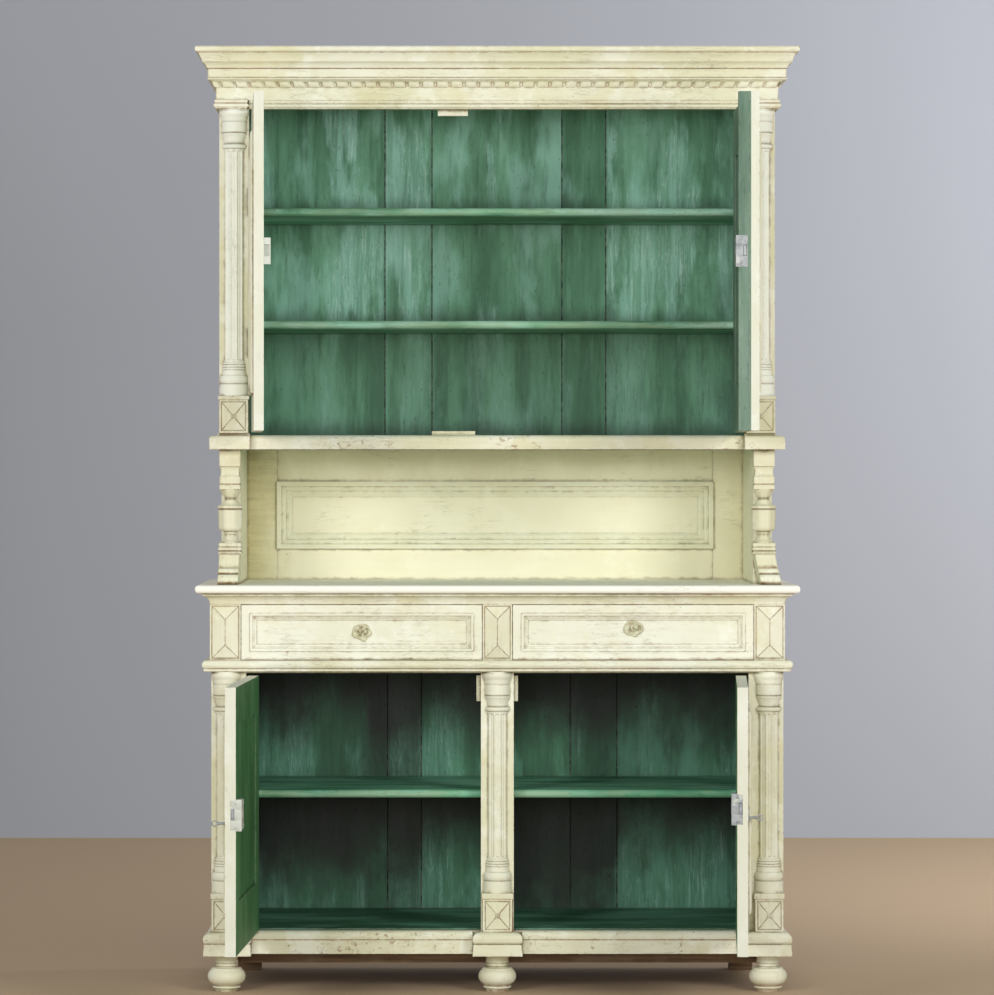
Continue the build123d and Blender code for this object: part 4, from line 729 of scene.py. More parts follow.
def cap_fillet(x, front, z0, width, height):
    """Flat cap on a block, its three free edges a little rounded: the section is carried round them."""
    near, far = 1.2 * MM, 2.6 * MM
    steps = profile((0.0, 0.0), (near, 0.0), ((far, height * 0.18), (far, height * 0.5)),
                    ((far, height * 0.85), (near, height)), (0.0, height))
    out, up = steps[:, :1], steps[:, 1:]
    side = np.array([[-1.0, -1.0, 1.0, 1.0]])
    fore = np.array([[0.0, 1.0, 1.0, 0.0]])
    px = x + side * (width / 2 + out)
    py = front - fore * (BLOCK_D + out)
    return shell(capped(lay(px, py, z0 + up)), wrap_columns=True)


def cut_blocks(material):
    """The blocks under the three lower and two upper columns, with their caps."""
    low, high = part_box("base_plinth_blocks")[1][2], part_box("upper_plinth_blocks")[1][2]
    outer, upper = BASE_HALF - POST_W / 2, UPPER_HALF - UPPER_POST_W / 2
    shells = []
    for x, front, z0, width, cut, cap in (
            (-outer, BASE_FRONT, low, POST_W - 4 * MM, BLOCK_H, BLOCK_CAP_H),
            (0.0, BASE_FRONT, low, POST_W - 1 * MM, BLOCK_H, BLOCK_CAP_H),
            (outer, BASE_FRONT, low, POST_W - 4 * MM, BLOCK_H, BLOCK_CAP_H),
            (-upper, UPPER_FRONT, high, UPPER_POST_W - 2 * MM, UPPER_CUT_H, UPPER_CAP_H),
            (upper, UPPER_FRONT, high, UPPER_POST_W - 2 * MM, UPPER_CUT_H, UPPER_CAP_H)):
        shells += cut_block(x, front, z0, width, cut)
        shells.append(cap_fillet(x, front, z0 + cut, width, cap))
    make_piece("cut_diamond_blocks", shells, "carcass", material, ["diamond_blocks"], 30.0)


# ---------------------------------------------------------------- turned half columns
# in millimetres
DRUM_R = 38.0
SHAFT_R = 28.0
BASE_H = 84.0
CAPITAL_H = 100.0
GLUE_DEPTH = 10.0           # the column's axis behind the face it is glued to
FLUTE_W, FLUTE_DEEP = 13.4, 2.4
FLUTE_STOP = 5.0            # flutes end this far from the base and the capital
FLUTE_TURN = 32.0           # degrees between two flutes
BEAD_W, BEAD_RISE = 1.3, 0.7
UNEVEN = 0.25


def column_profile(height):
    """Radius and height of the turned column, in millimetres."""
    d, s, b = DRUM_R, SHAFT_R, BASE_H
    c, top = height - CAPITAL_H, height
    shaft = np.concatenate([np.linspace(b + 1, b + 26, 26), np.linspace(b + 40, c - 40, 24),
                            np.linspace(c - 26, c - 1, 26)])
    low = profile(
        (d, 0.0), (d, 1.0), (d - 1.0, 29.0), (d - 3.0, 30.0), (d - 3.0, 32.0),
        ((d - 0.5, 41.0), (d - 4.0, 51.0)), (s + 4.0, 52.0), (s + 4.0, 53.0),
        ((s + 3.0, 60.0), (s + 1.5, b - 18.0)), (s + 3.0, b - 17.0), (s + 3.0, b - 13.0),
        (s + 1.0, b - 12.0), (s + 2.5, b - 10.5), (s + 2.5, b - 6.0), (s + 0.5, b - 5.0),
        ((s + 2.0, b - 2.5), (s + 0.5, b)))
    high = profile(
        (s - 0.5, c), (s + 2.5, c + 1.0), ((s + 5.0, c + 5.5), (s + 2.5, c + 10.0)),
        (s - 2.0, c + 11.5), ((s - 0.5, c + 22.0), (s + 3.0, c + 33.0)), (s + 4.5, c + 35.0),
        (s + 4.5, c + 38.0), (s + 3.0, c + 39.0), (s + 3.0, c + 41.0), (s + 5.0, c + 42.5),
        (s + 5.0, top - 34.0), (s + 4.0, top - 33.0), (s + 6.0, top - 26.0), (s + 6.0, top - 21.5),
        (d - 3.5, top - 20.0), ((d + 0.5, top - 11.0), (d - 1.0, top - 3.5)), (d - 1.0, top))
    middle = np.stack([np.full(shaft.shape, s - 0.5), shaft], axis=1)
    return np.concatenate([low, middle, high])


def half_column(x, front, z0, z1, seed):
    """A column cut by the face it stands on. The angle round the axis runs only over the part in front
    of that face; each flute lowers the radius by a shallow parabola whose width closes in a half circle
    at both ends, with a thin bead along its middle; two slow sines make the shaft slightly uneven."""
    outline = column_profile((z1 - z0) / MM)
    radius, height = outline[:, :1], outline[:, 1:]
    share = np.linspace(-1, 1, 85)[None, :]
    reach = np.arccos(np.clip(GLUE_DEPTH / radius, -1, 1))
    angle = share * reach
    pitch = math.radians(FLUTE_TURN)
    off = (angle - np.round(np.clip(angle / pitch, -2, 2)) * pitch) * radius
    low, high = BASE_H + FLUTE_STOP, (z1 - z0) / MM - CAPITAL_H - FLUTE_STOP
    half = FLUTE_W / 2
    past = np.maximum(np.maximum(low + half - height, height - high + half), 0)
    width = np.sqrt(np.clip(half ** 2 - past ** 2, 0, None))
    inside = np.clip(1 - (off / np.maximum(width, 1e-6)) ** 2, 0, 1) * (width > 0.05)
    shaft = (height > low) & (height < high)
    flute = FLUTE_DEEP * np.sqrt(inside) * shaft
    bead = BEAD_RISE * np.exp(-(off / BEAD_W) ** 2) * (inside > 0.3) * shaft
    uneven = UNEVEN * np.sin(height / 37 + seed) * np.cos(2 * angle + seed)
    r = radius - flute + bead + uneven * (radius < SHAFT_R + 1)
    py = np.minimum(front + MM * (GLUE_DEPTH - r * np.cos(angle)), front)
    return shell(capped(lay(x + MM * r * np.sin(angle), py, z0 + MM * height)), wrap_columns=True)


def columns(material):
    """Three columns of the base and two of the upper cabinet."""
    low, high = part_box("half_columns")
    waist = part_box("waist_moulding")[0][2]
    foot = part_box("upper_plinth_blocks")[1][2] + UPPER_CUT_H + UPPER_CAP_H
    shells = [half_column(side * (BASE_HALF - POST_W / 2), BASE_FRONT, low[2], waist, 1.0 + side)
              for side in (-1, 0, 1)]
    shells += [half_column(side * (UPPER_HALF - UPPER_POST_W / 2), UPPER_FRONT, foot, high[2], 3.0 + side)
               for side in (-1, 1)]
    make_piece("turned_half_columns", shells, "carcass", material, ["half_columns"], 28.0)


# ---------------------------------------------------------------- dentils
DENTIL_PITCH = 35.4 * MM
DENTIL_GAP = 7.0 * MM
DENTIL_SHIFT = 6.5 * MM
DENTIL_H = 14 * MM
DENTIL_DEEP = 7 * MM
FRIEZE_OUT = 8 * MM
BED_OUT = 28.5 * MM


def dentil_face(along, out, up):
    """How far a point of the bed moulding stands out: each dentil is a block with soft shoulders and
    the gaps between two of them go back to the frieze; above the dentils nothing is taken away."""
    u = ((along - DENTIL_SHIFT) / DENTIL_PITCH + 0.5) % 1.0
    gap = DENTIL_GAP / DENTIL_PITCH
    body = np.clip((u - gap / 2) / (1 - gap), 0, 1)
    pillow = np.sin(math.pi * body) ** 0.42
    cut = (up < DENTIL_H) * (1 - pillow)
    return out - cut * np.minimum(out - FRIEZE_OUT, DENTIL_DEEP)


def dentil_stations(length):
    """Places along a run, close together where the shoulders of the dentils turn."""
    gap = DENTIL_GAP / DENTIL_PITCH / 2
    shoulder = np.array([0.0, 0.004, 0.02, 0.06, 0.14, 0.3])
    body = gap + (1 - 2 * gap) * np.concatenate([shoulder, [0.5], 1 - shoulder[::-1]])
    whole = math.ceil(length / 2 / DENTIL_PITCH) + 2
    cells = np.arange(-whole, whole)[:, None]
    along = ((cells + 0.5 + np.concatenate([[0.0], body])) * DENTIL_PITCH + DENTIL_SHIFT).ravel()
    along = along[np.abs(along) < length / 2 - 1 * MM]
    return np.concatenate([[-length / 2], along, [length / 2]])[None, :]


def dentil_run(steps, length, place):
    """One straight run of the bed moulding: the section in rows, the length in columns, both ends
    mitred where they meet the next run."""
    out, up = steps[:, :1], steps[:, 1:]
    along = dentil_stations(length)
    points = place(along / (length / 2), dentil_face(along, out, up), up)
    return shell(np.swapaxes(capped(np.swapaxes(points, 0, 1)), 0, 1), wrap_rows=True)


def dentils(material):
    """Bed moulding with dentils along the front and both sides of the upper cabinet."""
    half, front = UPPER_HALF, UPPER_FRONT
    low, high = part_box("dentil_band")
    back, z0, rise = high[1], low[2], high[2] - low[2]
    f, h, far = FRIEZE_OUT, DENTIL_H, BED_OUT
    steps = profile((0.0, 0.0), (f + 2 * MM, 0.0), ((f + 7 * MM, 5 * MM), (f + 9.5 * MM, h)),
                    (f + 10 * MM, h + 0.1 * MM), (far - 7 * MM, h + 2.5 * MM), (far - 1.5 * MM, h + 4 * MM),
                    (far, h + 5.5 * MM), (far, rise - 1 * MM), (far - 1 * MM, rise), (0.0, rise))

    def fore(share, deep, up):
        return lay(share * (half + deep), front - deep, z0 + up)

    def flank(side):
        def run(share, deep, up):
            start = front - deep
            return lay(side * (half + deep), start + (share + 1) / 2 * (back - start), z0 + up)
        return run

    shells = [dentil_run(steps, 2 * half, fore)]
    shells += [dentil_run(steps, back - front, flank(side)) for side in (-1, 1)]
    make_piece("dentil_moulding", shells, "carcass", material, ["dentil_band"], 40.0)


# ---------------------------------------------------------------- cast rosettes on the drawers
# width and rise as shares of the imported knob's, and height as a share of width
ROSETTE_W, ROSETTE_RISE, ROSETTE_H = 0.6, 1.15, 0.86


def swirl(r, turn, waves, wind):
    """Height of a shell-like ornament from 0 to 1: ridges that wind round as they leave the middle,
    a domed heart set off to one side, and a raised rolled rim."""
    ridges = 0.20 * np.sin(waves * turn + wind * r + 0.8) * np.sin(math.pi * np.clip(r, 0, 1)) ** 0.7
    x, z = r * np.cos(turn) - 0.12, r * np.sin(turn) - 0.10
    heart = 0.60 * np.sqrt(np.clip(1 - (np.hypot(x, z) / 0.46) ** 2, 0, 1))
    curl = 0.16 * np.sin(9.0 * np.hypot(x, z) - 2 * turn) * (np.hypot(x, z) < 0.5)
    rim = 0.22 * np.exp(-((r - 0.86) / 0.09) ** 2)
    return np.clip(0.24 + ridges + heart + curl + rim, 0.05, 1.1)


def rosette(name, drawer, material, lobes, wind):
    """A cast shell-like knob plate: a lobed outline, winding ridges, a domed heart and a small tail
    under it, all from waves of the turn round its middle."""
    low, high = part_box(drawer + "_rosette")
    middle = [(a + b) / 2 for a, b in zip(low, high)]
    radius, rise = ROSETTE_W * (high[0] - low[0]), ROSETTE_RISE * (high[1] - low[1])
    r = np.linspace(0, 1, 44)[:, None]
    turn = full_turn(120)
    edge = 0.98 + 0.05 * np.cos(lobes * turn + 0.6) + 0.06 * np.cos(2 * turn)
    edge += 0.24 * np.exp(-((turn - 1.5 * math.pi - 0.25) / 0.26) ** 2)
    height = swirl(r, turn, lobes, wind) * rise * np.sqrt(np.clip(1.001 - r ** 8, 0, 1))
    px = middle[0] + radius * r * edge * np.cos(turn)
    pz = middle[2] + radius * ROSETTE_H * r * edge * np.sin(turn)
    grid = lay(px, high[1] - height, pz)
    back = point_row([middle[0], high[1], middle[2]], grid)
    surface = shell(np.concatenate([grid, back]), wrap_columns=True)
    make_piece(name, [surface], drawer, material, [drawer + "_rosette"], 60.0)


# ---------------------------------------------------------------- soft-edged blocks, screws and locks
def ring(a, b, corner, count=5):
    """Outline of a rounded rectangle with half sizes a and b."""
    corner = min(corner, a, b)
    t = np.linspace(0, math.pi / 2, count)
    arcs = []
    for k, (su, sv) in enumerate(((1, 1), (-1, 1), (-1, -1), (1, -1))):
        at = t + k * math.pi / 2
        arcs.append(np.stack([su * (a - corner) + corner * np.cos(at),
                              sv * (b - corner) + corner * np.sin(at)], axis=1))
    return np.concatenate(arcs)


def soft_block(low, high, soft, axis=2, corner=None):
    """A closed block between two corners, its outline carried along one axis and drawn in at both
    ends by a quarter round, so that every edge is soft."""
    low, high = np.array(low, float), np.array(high, float)
    u, v = others(axis)
    middle, half = (low + high) / 2, (high - low) / 2
    t = np.linspace(0, math.pi / 2, 4)
    inset = np.concatenate([soft * (1 - np.sin(t)), soft * (1 - np.sin(t))[::-1]])
    along = np.concatenate([low[axis] + soft * (1 - np.cos(t)), high[axis] - soft * (1 - np.cos(t))[::-1]])
    rows = []
    for d, w in zip(inset, along):
        outline = ring(half[u] - d, half[v] - d, (corner or soft * 1.5) - d * 0.5)
        row = np.empty((len(outline), 3))
        row[:, u], row[:, v], row[:, axis] = middle[u] + outline[:, 0], middle[v] + outline[:, 1], w
        rows.append(row)
    return shell(capped(np.stack(rows)), wrap_columns=True)


def screw(place, radius, rise, axis, sign, slot):
    """A domed slotted head: a half sphere flattened to its rise, with a groove across it."""
    r = np.linspace(0, 1, 14)[:, None]
    turn = full_turn(32)
    height = rise * np.sqrt(np.clip(1 - r ** 2, 0, 1))
    across = np.abs(r * np.sin(turn - slot))
    height = height - 0.7 * rise * (across < 0.16) * (r < 0.97)
    u, v = others(axis)
    grid = np.empty(height.shape + (3,))
    grid[..., u] = place[u] + radius * r * np.cos(turn)
    grid[..., v] = place[v] + radius * r * np.sin(turn)
    grid[..., axis] = place[axis] + sign * height
    return shell(np.concatenate([grid, point_row(place, grid)]), wrap_columns=True)


def hang(shells, door):
    """Shells given for a shut right-hand door, mirrored for a left one and turned to rest."""
    joint = joint_of(door + "_hinge")
    turn = -math.radians(joint["range_deg"][0]) * joint["axis"][2]
    pin = np.array([*joint["pos_m"][:2], 0.0])
    mirror = np.array([math.copysign(1.0, pin[0]), 1.0, 1.0])
    spin = np.array([[math.cos(turn), -math.sin(turn), 0], [math.sin(turn), math.cos(turn), 0], [0, 0, 1]])
    return [((points * mirror - pin) @ spin.T + pin, faces) for points, faces in shells]


BASE_LOCK_EDGE, UPPER_LOCK_EDGE = 43 * MM, 1.5 * MM         # free edges of the shut doors from the middle
BASE_LOCK_BACK, UPPER_LOCK_BACK = 38.6 * MM, 54.6 * MM      # backs of the cases behind the frames' fronts
LOCK_L, LOCK_H, LOCK_T, LOCK_WALL = 62 * MM, 71 * MM, 26 * MM, 1.8 * MM
CASE_IN, CASE_GAP = 1.5 * MM, 1 * MM                        # the case behind the door's edge and the plate
PLATE_OUT, PLATE_IN, PLATE_LIP, PLATE_OVER = 0.9 * MM, 0.6 * MM, 0.8 * MM, 2 * MM
BOLT_AT, BOLT_TALL, BOLT_ROOM, BOLT_SLOT = 25 * MM, 24 * MM, 0.8 * MM, (1.4 * MM, 9.2 * MM)
KEY_AT, KEY_IN, KEYHOLE_HALF = 14 * MM, 34 * MM, 4 * MM
BOSS_AT, BOSS_W, BOSS_RISE, BOSS_CORNER = (18 * MM, 22 * MM), 30 * MM, 1.4 * MM, 12 * MM
RIM_SIZES = (4.6 * MM, 13 * MM, 23 * MM, 4 * MM)            # hole, half width, half height, middle above it
SCREW_R, PLATE_SCREW_AT = 3 * MM, 7 * MM
CASE_SCREWS = ((8, 8, 0.3), (54, 9, 1.1), (9, 62, 2.2), (53, 63, 0.8))      # across, up, turn of the slot


def pierced(low, high, axis, hole, soft):
    """A thin plate with an oblong hole, as four soft strips round it; hole is (u0, u1, v0, v1)."""
    u, v = others(axis)
    u0, u1, v0, v1 = hole
    strips = []
    for a, b, c, d in ((low[u], high[u], low[v], v0), (low[u], high[u], v1, high[v]),
                       (low[u], u0, v0, v1), (u1, high[u], v0, v1)):
        near, far = list(low), list(high)
        near[u], far[u], near[v], far[v] = a, b, c, d
        strips.append(soft_block(near, far, soft, axis, soft * 1.5))
    return strips


def lock_shells(edge, back, z0, front=None):
    """A hollow rim lock on a shut right-hand door: case walls, lipped edge plate round the bolt with
    two screws, four screws and a round boss on the back, and an oval plate round the keyhole."""
    x0, y0 = edge + CASE_IN, back - LOCK_T
    x1, z1 = x0 + LOCK_L, z0 + LOCK_H
    key_x, key_z, bolt_z = edge + KEY_IN, z0 + KEY_AT, z0 + BOLT_AT
    slot = (y0 + BOLT_SLOT[0], y0 + BOLT_SLOT[1], bolt_z - BOLT_ROOM, bolt_z + BOLT_TALL + BOLT_ROOM)
    hole = (key_x - KEYHOLE_HALF, key_x + KEYHOLE_HALF, key_z - KEYHOLE_HALF, key_z + KEYHOLE_HALF)
    shells = pierced((x0 - PLATE_OUT, y0 - PLATE_LIP, z0 - PLATE_OVER),
                     (x0 + PLATE_IN, back + PLATE_LIP, z1 + PLATE_OVER), 0, slot, 0.35 * MM)
    x2 = x0 + CASE_GAP
    shells += pierced((x2, y0, z0), (x1, y0 + LOCK_WALL, z1), 1, hole, 0.5 * MM)
    shells.append(soft_block((x2, back - LOCK_WALL, z0), (x1, back, z1), 0.8 * MM, 1))
    for x, low, high in ((x2, z0, z0 + LOCK_WALL), (x2, z1 - LOCK_WALL, z1),
                         (x1 - LOCK_WALL, z0 + CASE_GAP, z1 - CASE_GAP)):
        shells.append(soft_block((x, y0 + CASE_GAP, low), (x1, back - CASE_GAP, high), 0.5 * MM, 1))
    for z, slant in ((z0 + PLATE_SCREW_AT, 0.5), (z1 - PLATE_SCREW_AT, 2.0)):
        shells.append(screw((x0 - PLATE_OUT, (y0 + back) / 2, z), SCREW_R, 0.9 * MM, 0, -1, slant))
    for x, z, slant in CASE_SCREWS:
        shells.append(screw((x0 + x * MM, back, z0 + z * MM), SCREW_R, 1.2 * MM, 1, 1, slant))
    x, z = x0 + BOSS_AT[0], z0 + BOSS_AT[1]
    far = (x + BOSS_W, back + BOSS_RISE, z + BOSS_W)
    shells.append(soft_block((x, back - CASE_GAP, z), far, 0.7 * MM, 1, BOSS_CORNER))
    if front is not None:
        shells.append(keyhole_rim(key_x, front, key_z))
    return shells


def keyhole_rim(x, front, z):
    """Oval plate with a raised bead round a round hole: rings from the hole out to the oval's edge."""
    turn, (hole, wide, tall, up) = full_turn(64), RIM_SIZES
    share = np.array([0.0, 0.0, 0.06, 0.14, 0.22, 0.30, 0.80, 0.90, 0.97, 1.0, 1.0])[:, None]
    rise = np.array([0.0, 1.0, 2.1, 2.5, 2.0, 1.3, 1.2, 1.7, 1.3, 0.6, 0.0])[:, None] * MM
    px = x + (hole + share * (wide - hole)) * np.cos(turn)
    pz = z + share * up + (hole + share * (tall - hole)) * np.sin(turn)
    return shell(lay(px, front - rise, pz), wrap_rows=True, wrap_columns=True)


def locks(material, pale):
    """The three rim locks, each riding on its door."""
    for door, edge, back, front, finish in (
            ("base_left_door", BASE_LOCK_EDGE, BASE_FRONT + BASE_LOCK_BACK, BASE_FRONT, pale),
            ("base_right_door", BASE_LOCK_EDGE, BASE_FRONT + BASE_LOCK_BACK, BASE_FRONT, material),
            ("upper_right_door", UPPER_LOCK_EDGE, UPPER_FRONT + UPPER_LOCK_BACK, None, material)):
        z0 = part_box(door + "_bolt")[0][2] - BOLT_AT
        shells = hang(lock_shells(edge, back, z0, front), door)
        make_piece(door + "_rim_lock", shells, door, finish, [door + "_lock"], 30.0)


# ---------------------------------------------------------------- brackets of the niche
VASE_H = 218.0
CAP_H = 43 * MM
CAP_HALF, CAP_REACH = 26.5 * MM, 31 * MM
FOOT_HALF = 25.5 * MM
BRACKET_IN = 26 * MM        # middle of a bracket from its outer side
VASE_FLATS, VASE_CORNERS = 1.035, 1.36                  # how far flats and corners reach past the radius
TOE_ROLLS = ((13.0, 13.0, 0.0), (33.0, 8.0, 11.0))      # height, radius and depth of each roll
FOOT_LEANS = ((-1, -3 * MM), (1, 14 * MM))


def vase_profile():
    """Half width, height and squareness of the vase with its square plinth and square head, in mm."""
    foot = profile((29.5, 0.0), (29.5, 6.0), (27.5, 7.5), (27.5, 9.5), (30.0, 11.0), (30.0, 16.0),
                   (28.0, 17.5), (28.0, 19.5), (29.0, 21.0), (29.0, 27.0), (27.0, 28.5))
    vase = profile((26.5, 30.0), (26.5, 31.5), ((17.5, 39.0), (14.5, 50.0)), (16.5, 51.5), (16.5, 55.5),
                   (15.0, 57.0), ((26.5, 60.0), (29.5, 70.0)), (30.5, 110.0), (28.6, 111.5), (28.6, 113.0),
                   (32.2, 114.5), (32.2, 120.0), (30.0, 121.5), ((22.0, 125.0), (16.0, 134.0)), (14.0, 136.0),
                   (14.0, 141.0), (16.0, 143.0), ((22.0, 152.0), (26.0, 160.0)))
    head = profile((26.8, 161.5), (26.8, 172.0), (24.6, 174.0), (26.3, 176.0), (26.3, 193.0), (24.2, 194.5),
                   ((23.0, 207.0), (26.4, VASE_H)))
    square = np.repeat([1.0, 0.0, 1.0], [len(foot), len(vase), len(head)])
    return np.concatenate([foot, vase, head]), square[:, None]


def turned_vase(x, y, z0, rise):
    """An outline carried round the axis: a circle with eight faint flats in the middle part, a square
    with eased corners in the plinth and the head."""
    steps, square = vase_profile()
    radius, height = steps[:, :1] * MM, steps[:, 1:] / VASE_H * rise
    turn = full_turn(96)
    off = turn - np.round(turn / (math.pi / 4)) * math.pi / 4
    flats = np.minimum(1 / np.cos(off), VASE_FLATS)
    corner = np.minimum(1 / np.maximum(np.abs(np.cos(turn)), np.abs(np.sin(turn))), VASE_CORNERS)
    r = radius * (flats + square * (corner - flats))
    points = lay(x + r * np.sin(turn), y - r * np.cos(turn), z0 + height)
    return shell(capped(points), wrap_columns=True)


def scroll_foot(x, half, toe, back, z0, rise, lean):
    """A scrolled foot: at each level the front is that of the foremost roll's circle or of the hollow
    curve behind them, drawn back at both sides by a quarter round; the whole leans to one side."""
    z = np.linspace(0, rise / MM, 151)[:, None]
    across = np.sin(np.linspace(-math.pi / 2, math.pi / 2, 41))[None, :]
    front = 19.0 + 0.22 * z + 4.0 * np.sin(z / rise * MM * math.pi)
    for level, radius, depth in TOE_ROLLS:
        bulge = radius ** 2 - np.minimum(np.abs(z - level), radius) ** 2
        front = np.minimum(front, depth + radius - np.sqrt(bulge) + 12.0 * (bulge <= 0))
    soft = 3.0 * (1 - np.sqrt(np.clip(1 - across ** 8, 0, 1)))
    ragged = 0.8 * np.sin(across * 9 + z / 7) * np.clip(1 - z / 30, 0, 1)
    tilt = lean * (1 - z / z[-1])
    return closed_block(lay(x + half * across + tilt, toe + MM * (front + soft + ragged), z0 + MM * z), back)


def brackets(material):
    """Both brackets: cap block, turned vase and scrolled foot, the feet leaning a little outwards."""
    vase, (low, high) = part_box("bracket_balusters"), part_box("bracket_blocks")
    y, z0, head = (vase[0][1] + vase[1][1]) / 2, vase[0][2], high[2] - CAP_H
    shells = []
    for side, lean in FOOT_LEANS:
        x = side * (high[0] - BRACKET_IN)
        shells.append(turned_vase(x, y, z0, head - z0))
        shells += scroll_foot(x, FOOT_HALF, low[1] + 1 * MM, high[1], low[2], z0 - low[2], lean)
        shells.append(soft_block((x - CAP_HALF, y - CAP_REACH, head), (x + CAP_HALF, high[1], high[2]),
                                 1.2 * MM, 0))
    make_piece("turned_vase_brackets", shells, "carcass", material,
               ["bracket_balusters", "bracket_blocks"], 22.0)


# ---------------------------------------------------------------- hipped blocks beside the drawers
HIP_RISE = 10 * MM
HIP_BORDER = 5 * MM
HIP_SCORE_DEEP = 2.2 * MM
HIP_W = 77 * MM
HIP_MIDDLE_W = 74 * MM


def hip_relief(width, height):
    """Relief of a hipped face: four planes that rise from the edges to an upright ridge, scored along
    the hips and round a narrow border."""
    x = np.linspace(-width / 2, width / 2, 121)[None, :]
    z = np.linspace(-height / 2, height / 2, 181)[:, None]
    from_side, from_end = width / 2 - np.abs(x), height / 2 - np.abs(z)
    run = np.minimum(from_side, from_end) - HIP_BORDER
    relief = np.clip(run, 0, None) / (width / 2 - HIP_BORDER) * HIP_RISE
    relief -= HIP_SCORE_DEEP * scored((from_side - from_end) / math.sqrt(2)) * (run > 0)
    relief -= RIM_SCORE_DEEP * scored(run)
    relief -= SCORE_DEEP * scored(x) * (np.abs(z) < (height - width) / 2)
    return x, z, relief


def hip_block(x0, x1, low, high):
    """A hipped face carried back to the frame as a block."""
    px, pz, relief = hip_relief(x1 - x0, high[2] - low[2])
    middle_x, middle_z = (x0 + x1) / 2, (low[2] + high[2]) / 2
    return closed_block(lay(middle_x + px, low[1] + HIP_RISE - relief, middle_z + pz), high[1])


def hips(material):
    """The hipped blocks at both ends of the drawers and between them."""
    low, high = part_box("hip_blocks")
    half = HIP_MIDDLE_W / 2
    shells = []
    for x0, x1 in ((low[0], low[0] + HIP_W), (-half, half), (high[0] - HIP_W, high[0])):
        shells += hip_block(x0, x1, low, high)
    make_piece("scored_hip_blocks", shells, "carcass", material, ["hip_blocks"], 25.0)


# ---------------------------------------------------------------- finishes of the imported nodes
SIDE_T = 11 * MM            # the insides' green begins this far within the sides' outer faces
UPPER_SHELF_T = 20 * MM     # thickness of the upper shelves and floor
JOINT_IN = 78 * MM          # where the base frame's level members begin, from the hipped blocks' ends
APRON_RAIL_H = 55 * MM      # top of the base's bottom rail above the foot of the aprons
# from where to where, across or up, painted shade and painted light come in, in metres
SHADE_LEFT_END, SHADE_RIGHT_END = (-0.58, -0.66), (0.54, 0.68)
NICHE_LEFT, NICHE_RIGHT = (-0.5, -0.64), (0.54, 0.66)
UPPER_COLUMNS = (1.0, 1.2)
# joints of the back boards in millimetres from the middle
BASE_SEAMS = (-281.0, -193.0, 197.0, 319.0)
UPPER_SEAMS = (-288.0, -165.0, 175.0, 290.0)
# stretches of the base's back with more painted shade, below and above its shelf: from, to, and how much
LOWER_DARK = ((-700.0, -281.0, 0.34), (-281.0, -193.0, 0.45), (20.0, 197.0, 0.65), (197.0, 319.0, 0.55))
UPPER_DARK = ((-330.0, -193.0, 0.40), (20.0, 197.0, 0.15), (197.0, 319.0, 0.25), (319.0, 700.0, 0.10))
DOOR_PAINTS = (             # door, its front, depth of the cream edge, sooty dirt and painted shade, rubbing, greens
    ("upper_left_door", UPPER_FRONT, 23.5 * MM, 0.0, 1.0, OPEN_GREENS),
    ("upper_right_door", UPPER_FRONT, 19.5 * MM, 0.15, 0.5, WORN_GREENS),
    ("base_left_door", BASE_FRONT, 25.5 * MM, 0.0, 0.3, FRESH_GREENS),
    ("base_right_door", BASE_FRONT, 25.5 * MM, 0.0, 0.3, FRESH_GREENS))


def base_rails(place):
    """1 on the level members of the base's face frame."""
    x, _, z = parts_of(place)
    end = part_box("hip_blocks")[1][0] - JOINT_IN
    waist, cove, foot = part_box("waist_moulding"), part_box("counter_cove")[0][2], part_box("aprons")[0][2]
    rows = either(ease(z, foot + APRON_RAIL_H + 1 * MM, foot + APRON_RAIL_H),
                  between(z, waist[0][2] - 4 * MM, waist[1][2]))
    return ease(abs(x), end, end - 1 * MM) * either(rows, ease(z, cove, cove + 1 * MM))


def upper_rails(place):
    """1 on the level members of the upper cabinet's face frame."""
    x, _, z = parts_of(place)
    foot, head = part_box("upper_face_frame")[0][2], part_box("architrave_and_frieze")[0][2]
    inner = ease(abs(x), UPPER_HALF - UPPER_POST_W + 1 * MM, UPPER_HALF - UPPER_POST_W)
    return inner * either(ease(z, foot + 60 * MM, foot + 50 * MM), ease(z, head - 20 * MM, head - 10 * MM))


def drift(place, squeeze, scale, rough):
    """A slow upright cloudiness, from below to above nought."""
    return noise(stretched(place, "Z", squeeze), scale, 5.0, rough) - 0.5


def bay_shade_and_soot(place, low, high, boards):
    """Painted shade of a bay of the base, with cloudy sooty dirt: darker towards the top, where the shelf or
    rail above shades it, and more on the boards given by their limits across and by how much."""
    x, _, z = parts_of(place)
    level = (z - low) / (high - low) + drift(place, 0.7, 6.5, 0.62)
    for left, right, more in boards:
        level = level + between(x, left * MM, right * MM, 12 * MM) * more
    return ease(level, 0.2, 0.94) * 0.94


def base_shade_and_soot(place):
    """Painted shade and sooty dirt of the two bays of the base, above and below its shelf."""
    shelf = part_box("base_shelf")[0][2]
    under = calc("LESS_THAN", parts_of(place)[2], shelf)
    lower = bay_shade_and_soot(place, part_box("base_floor")[1][2], shelf, LOWER_DARK)
    upper = bay_shade_and_soot(place, shelf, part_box("waist_moulding")[0][2], UPPER_DARK)
    return under * lower + (1.0 - under) * upper


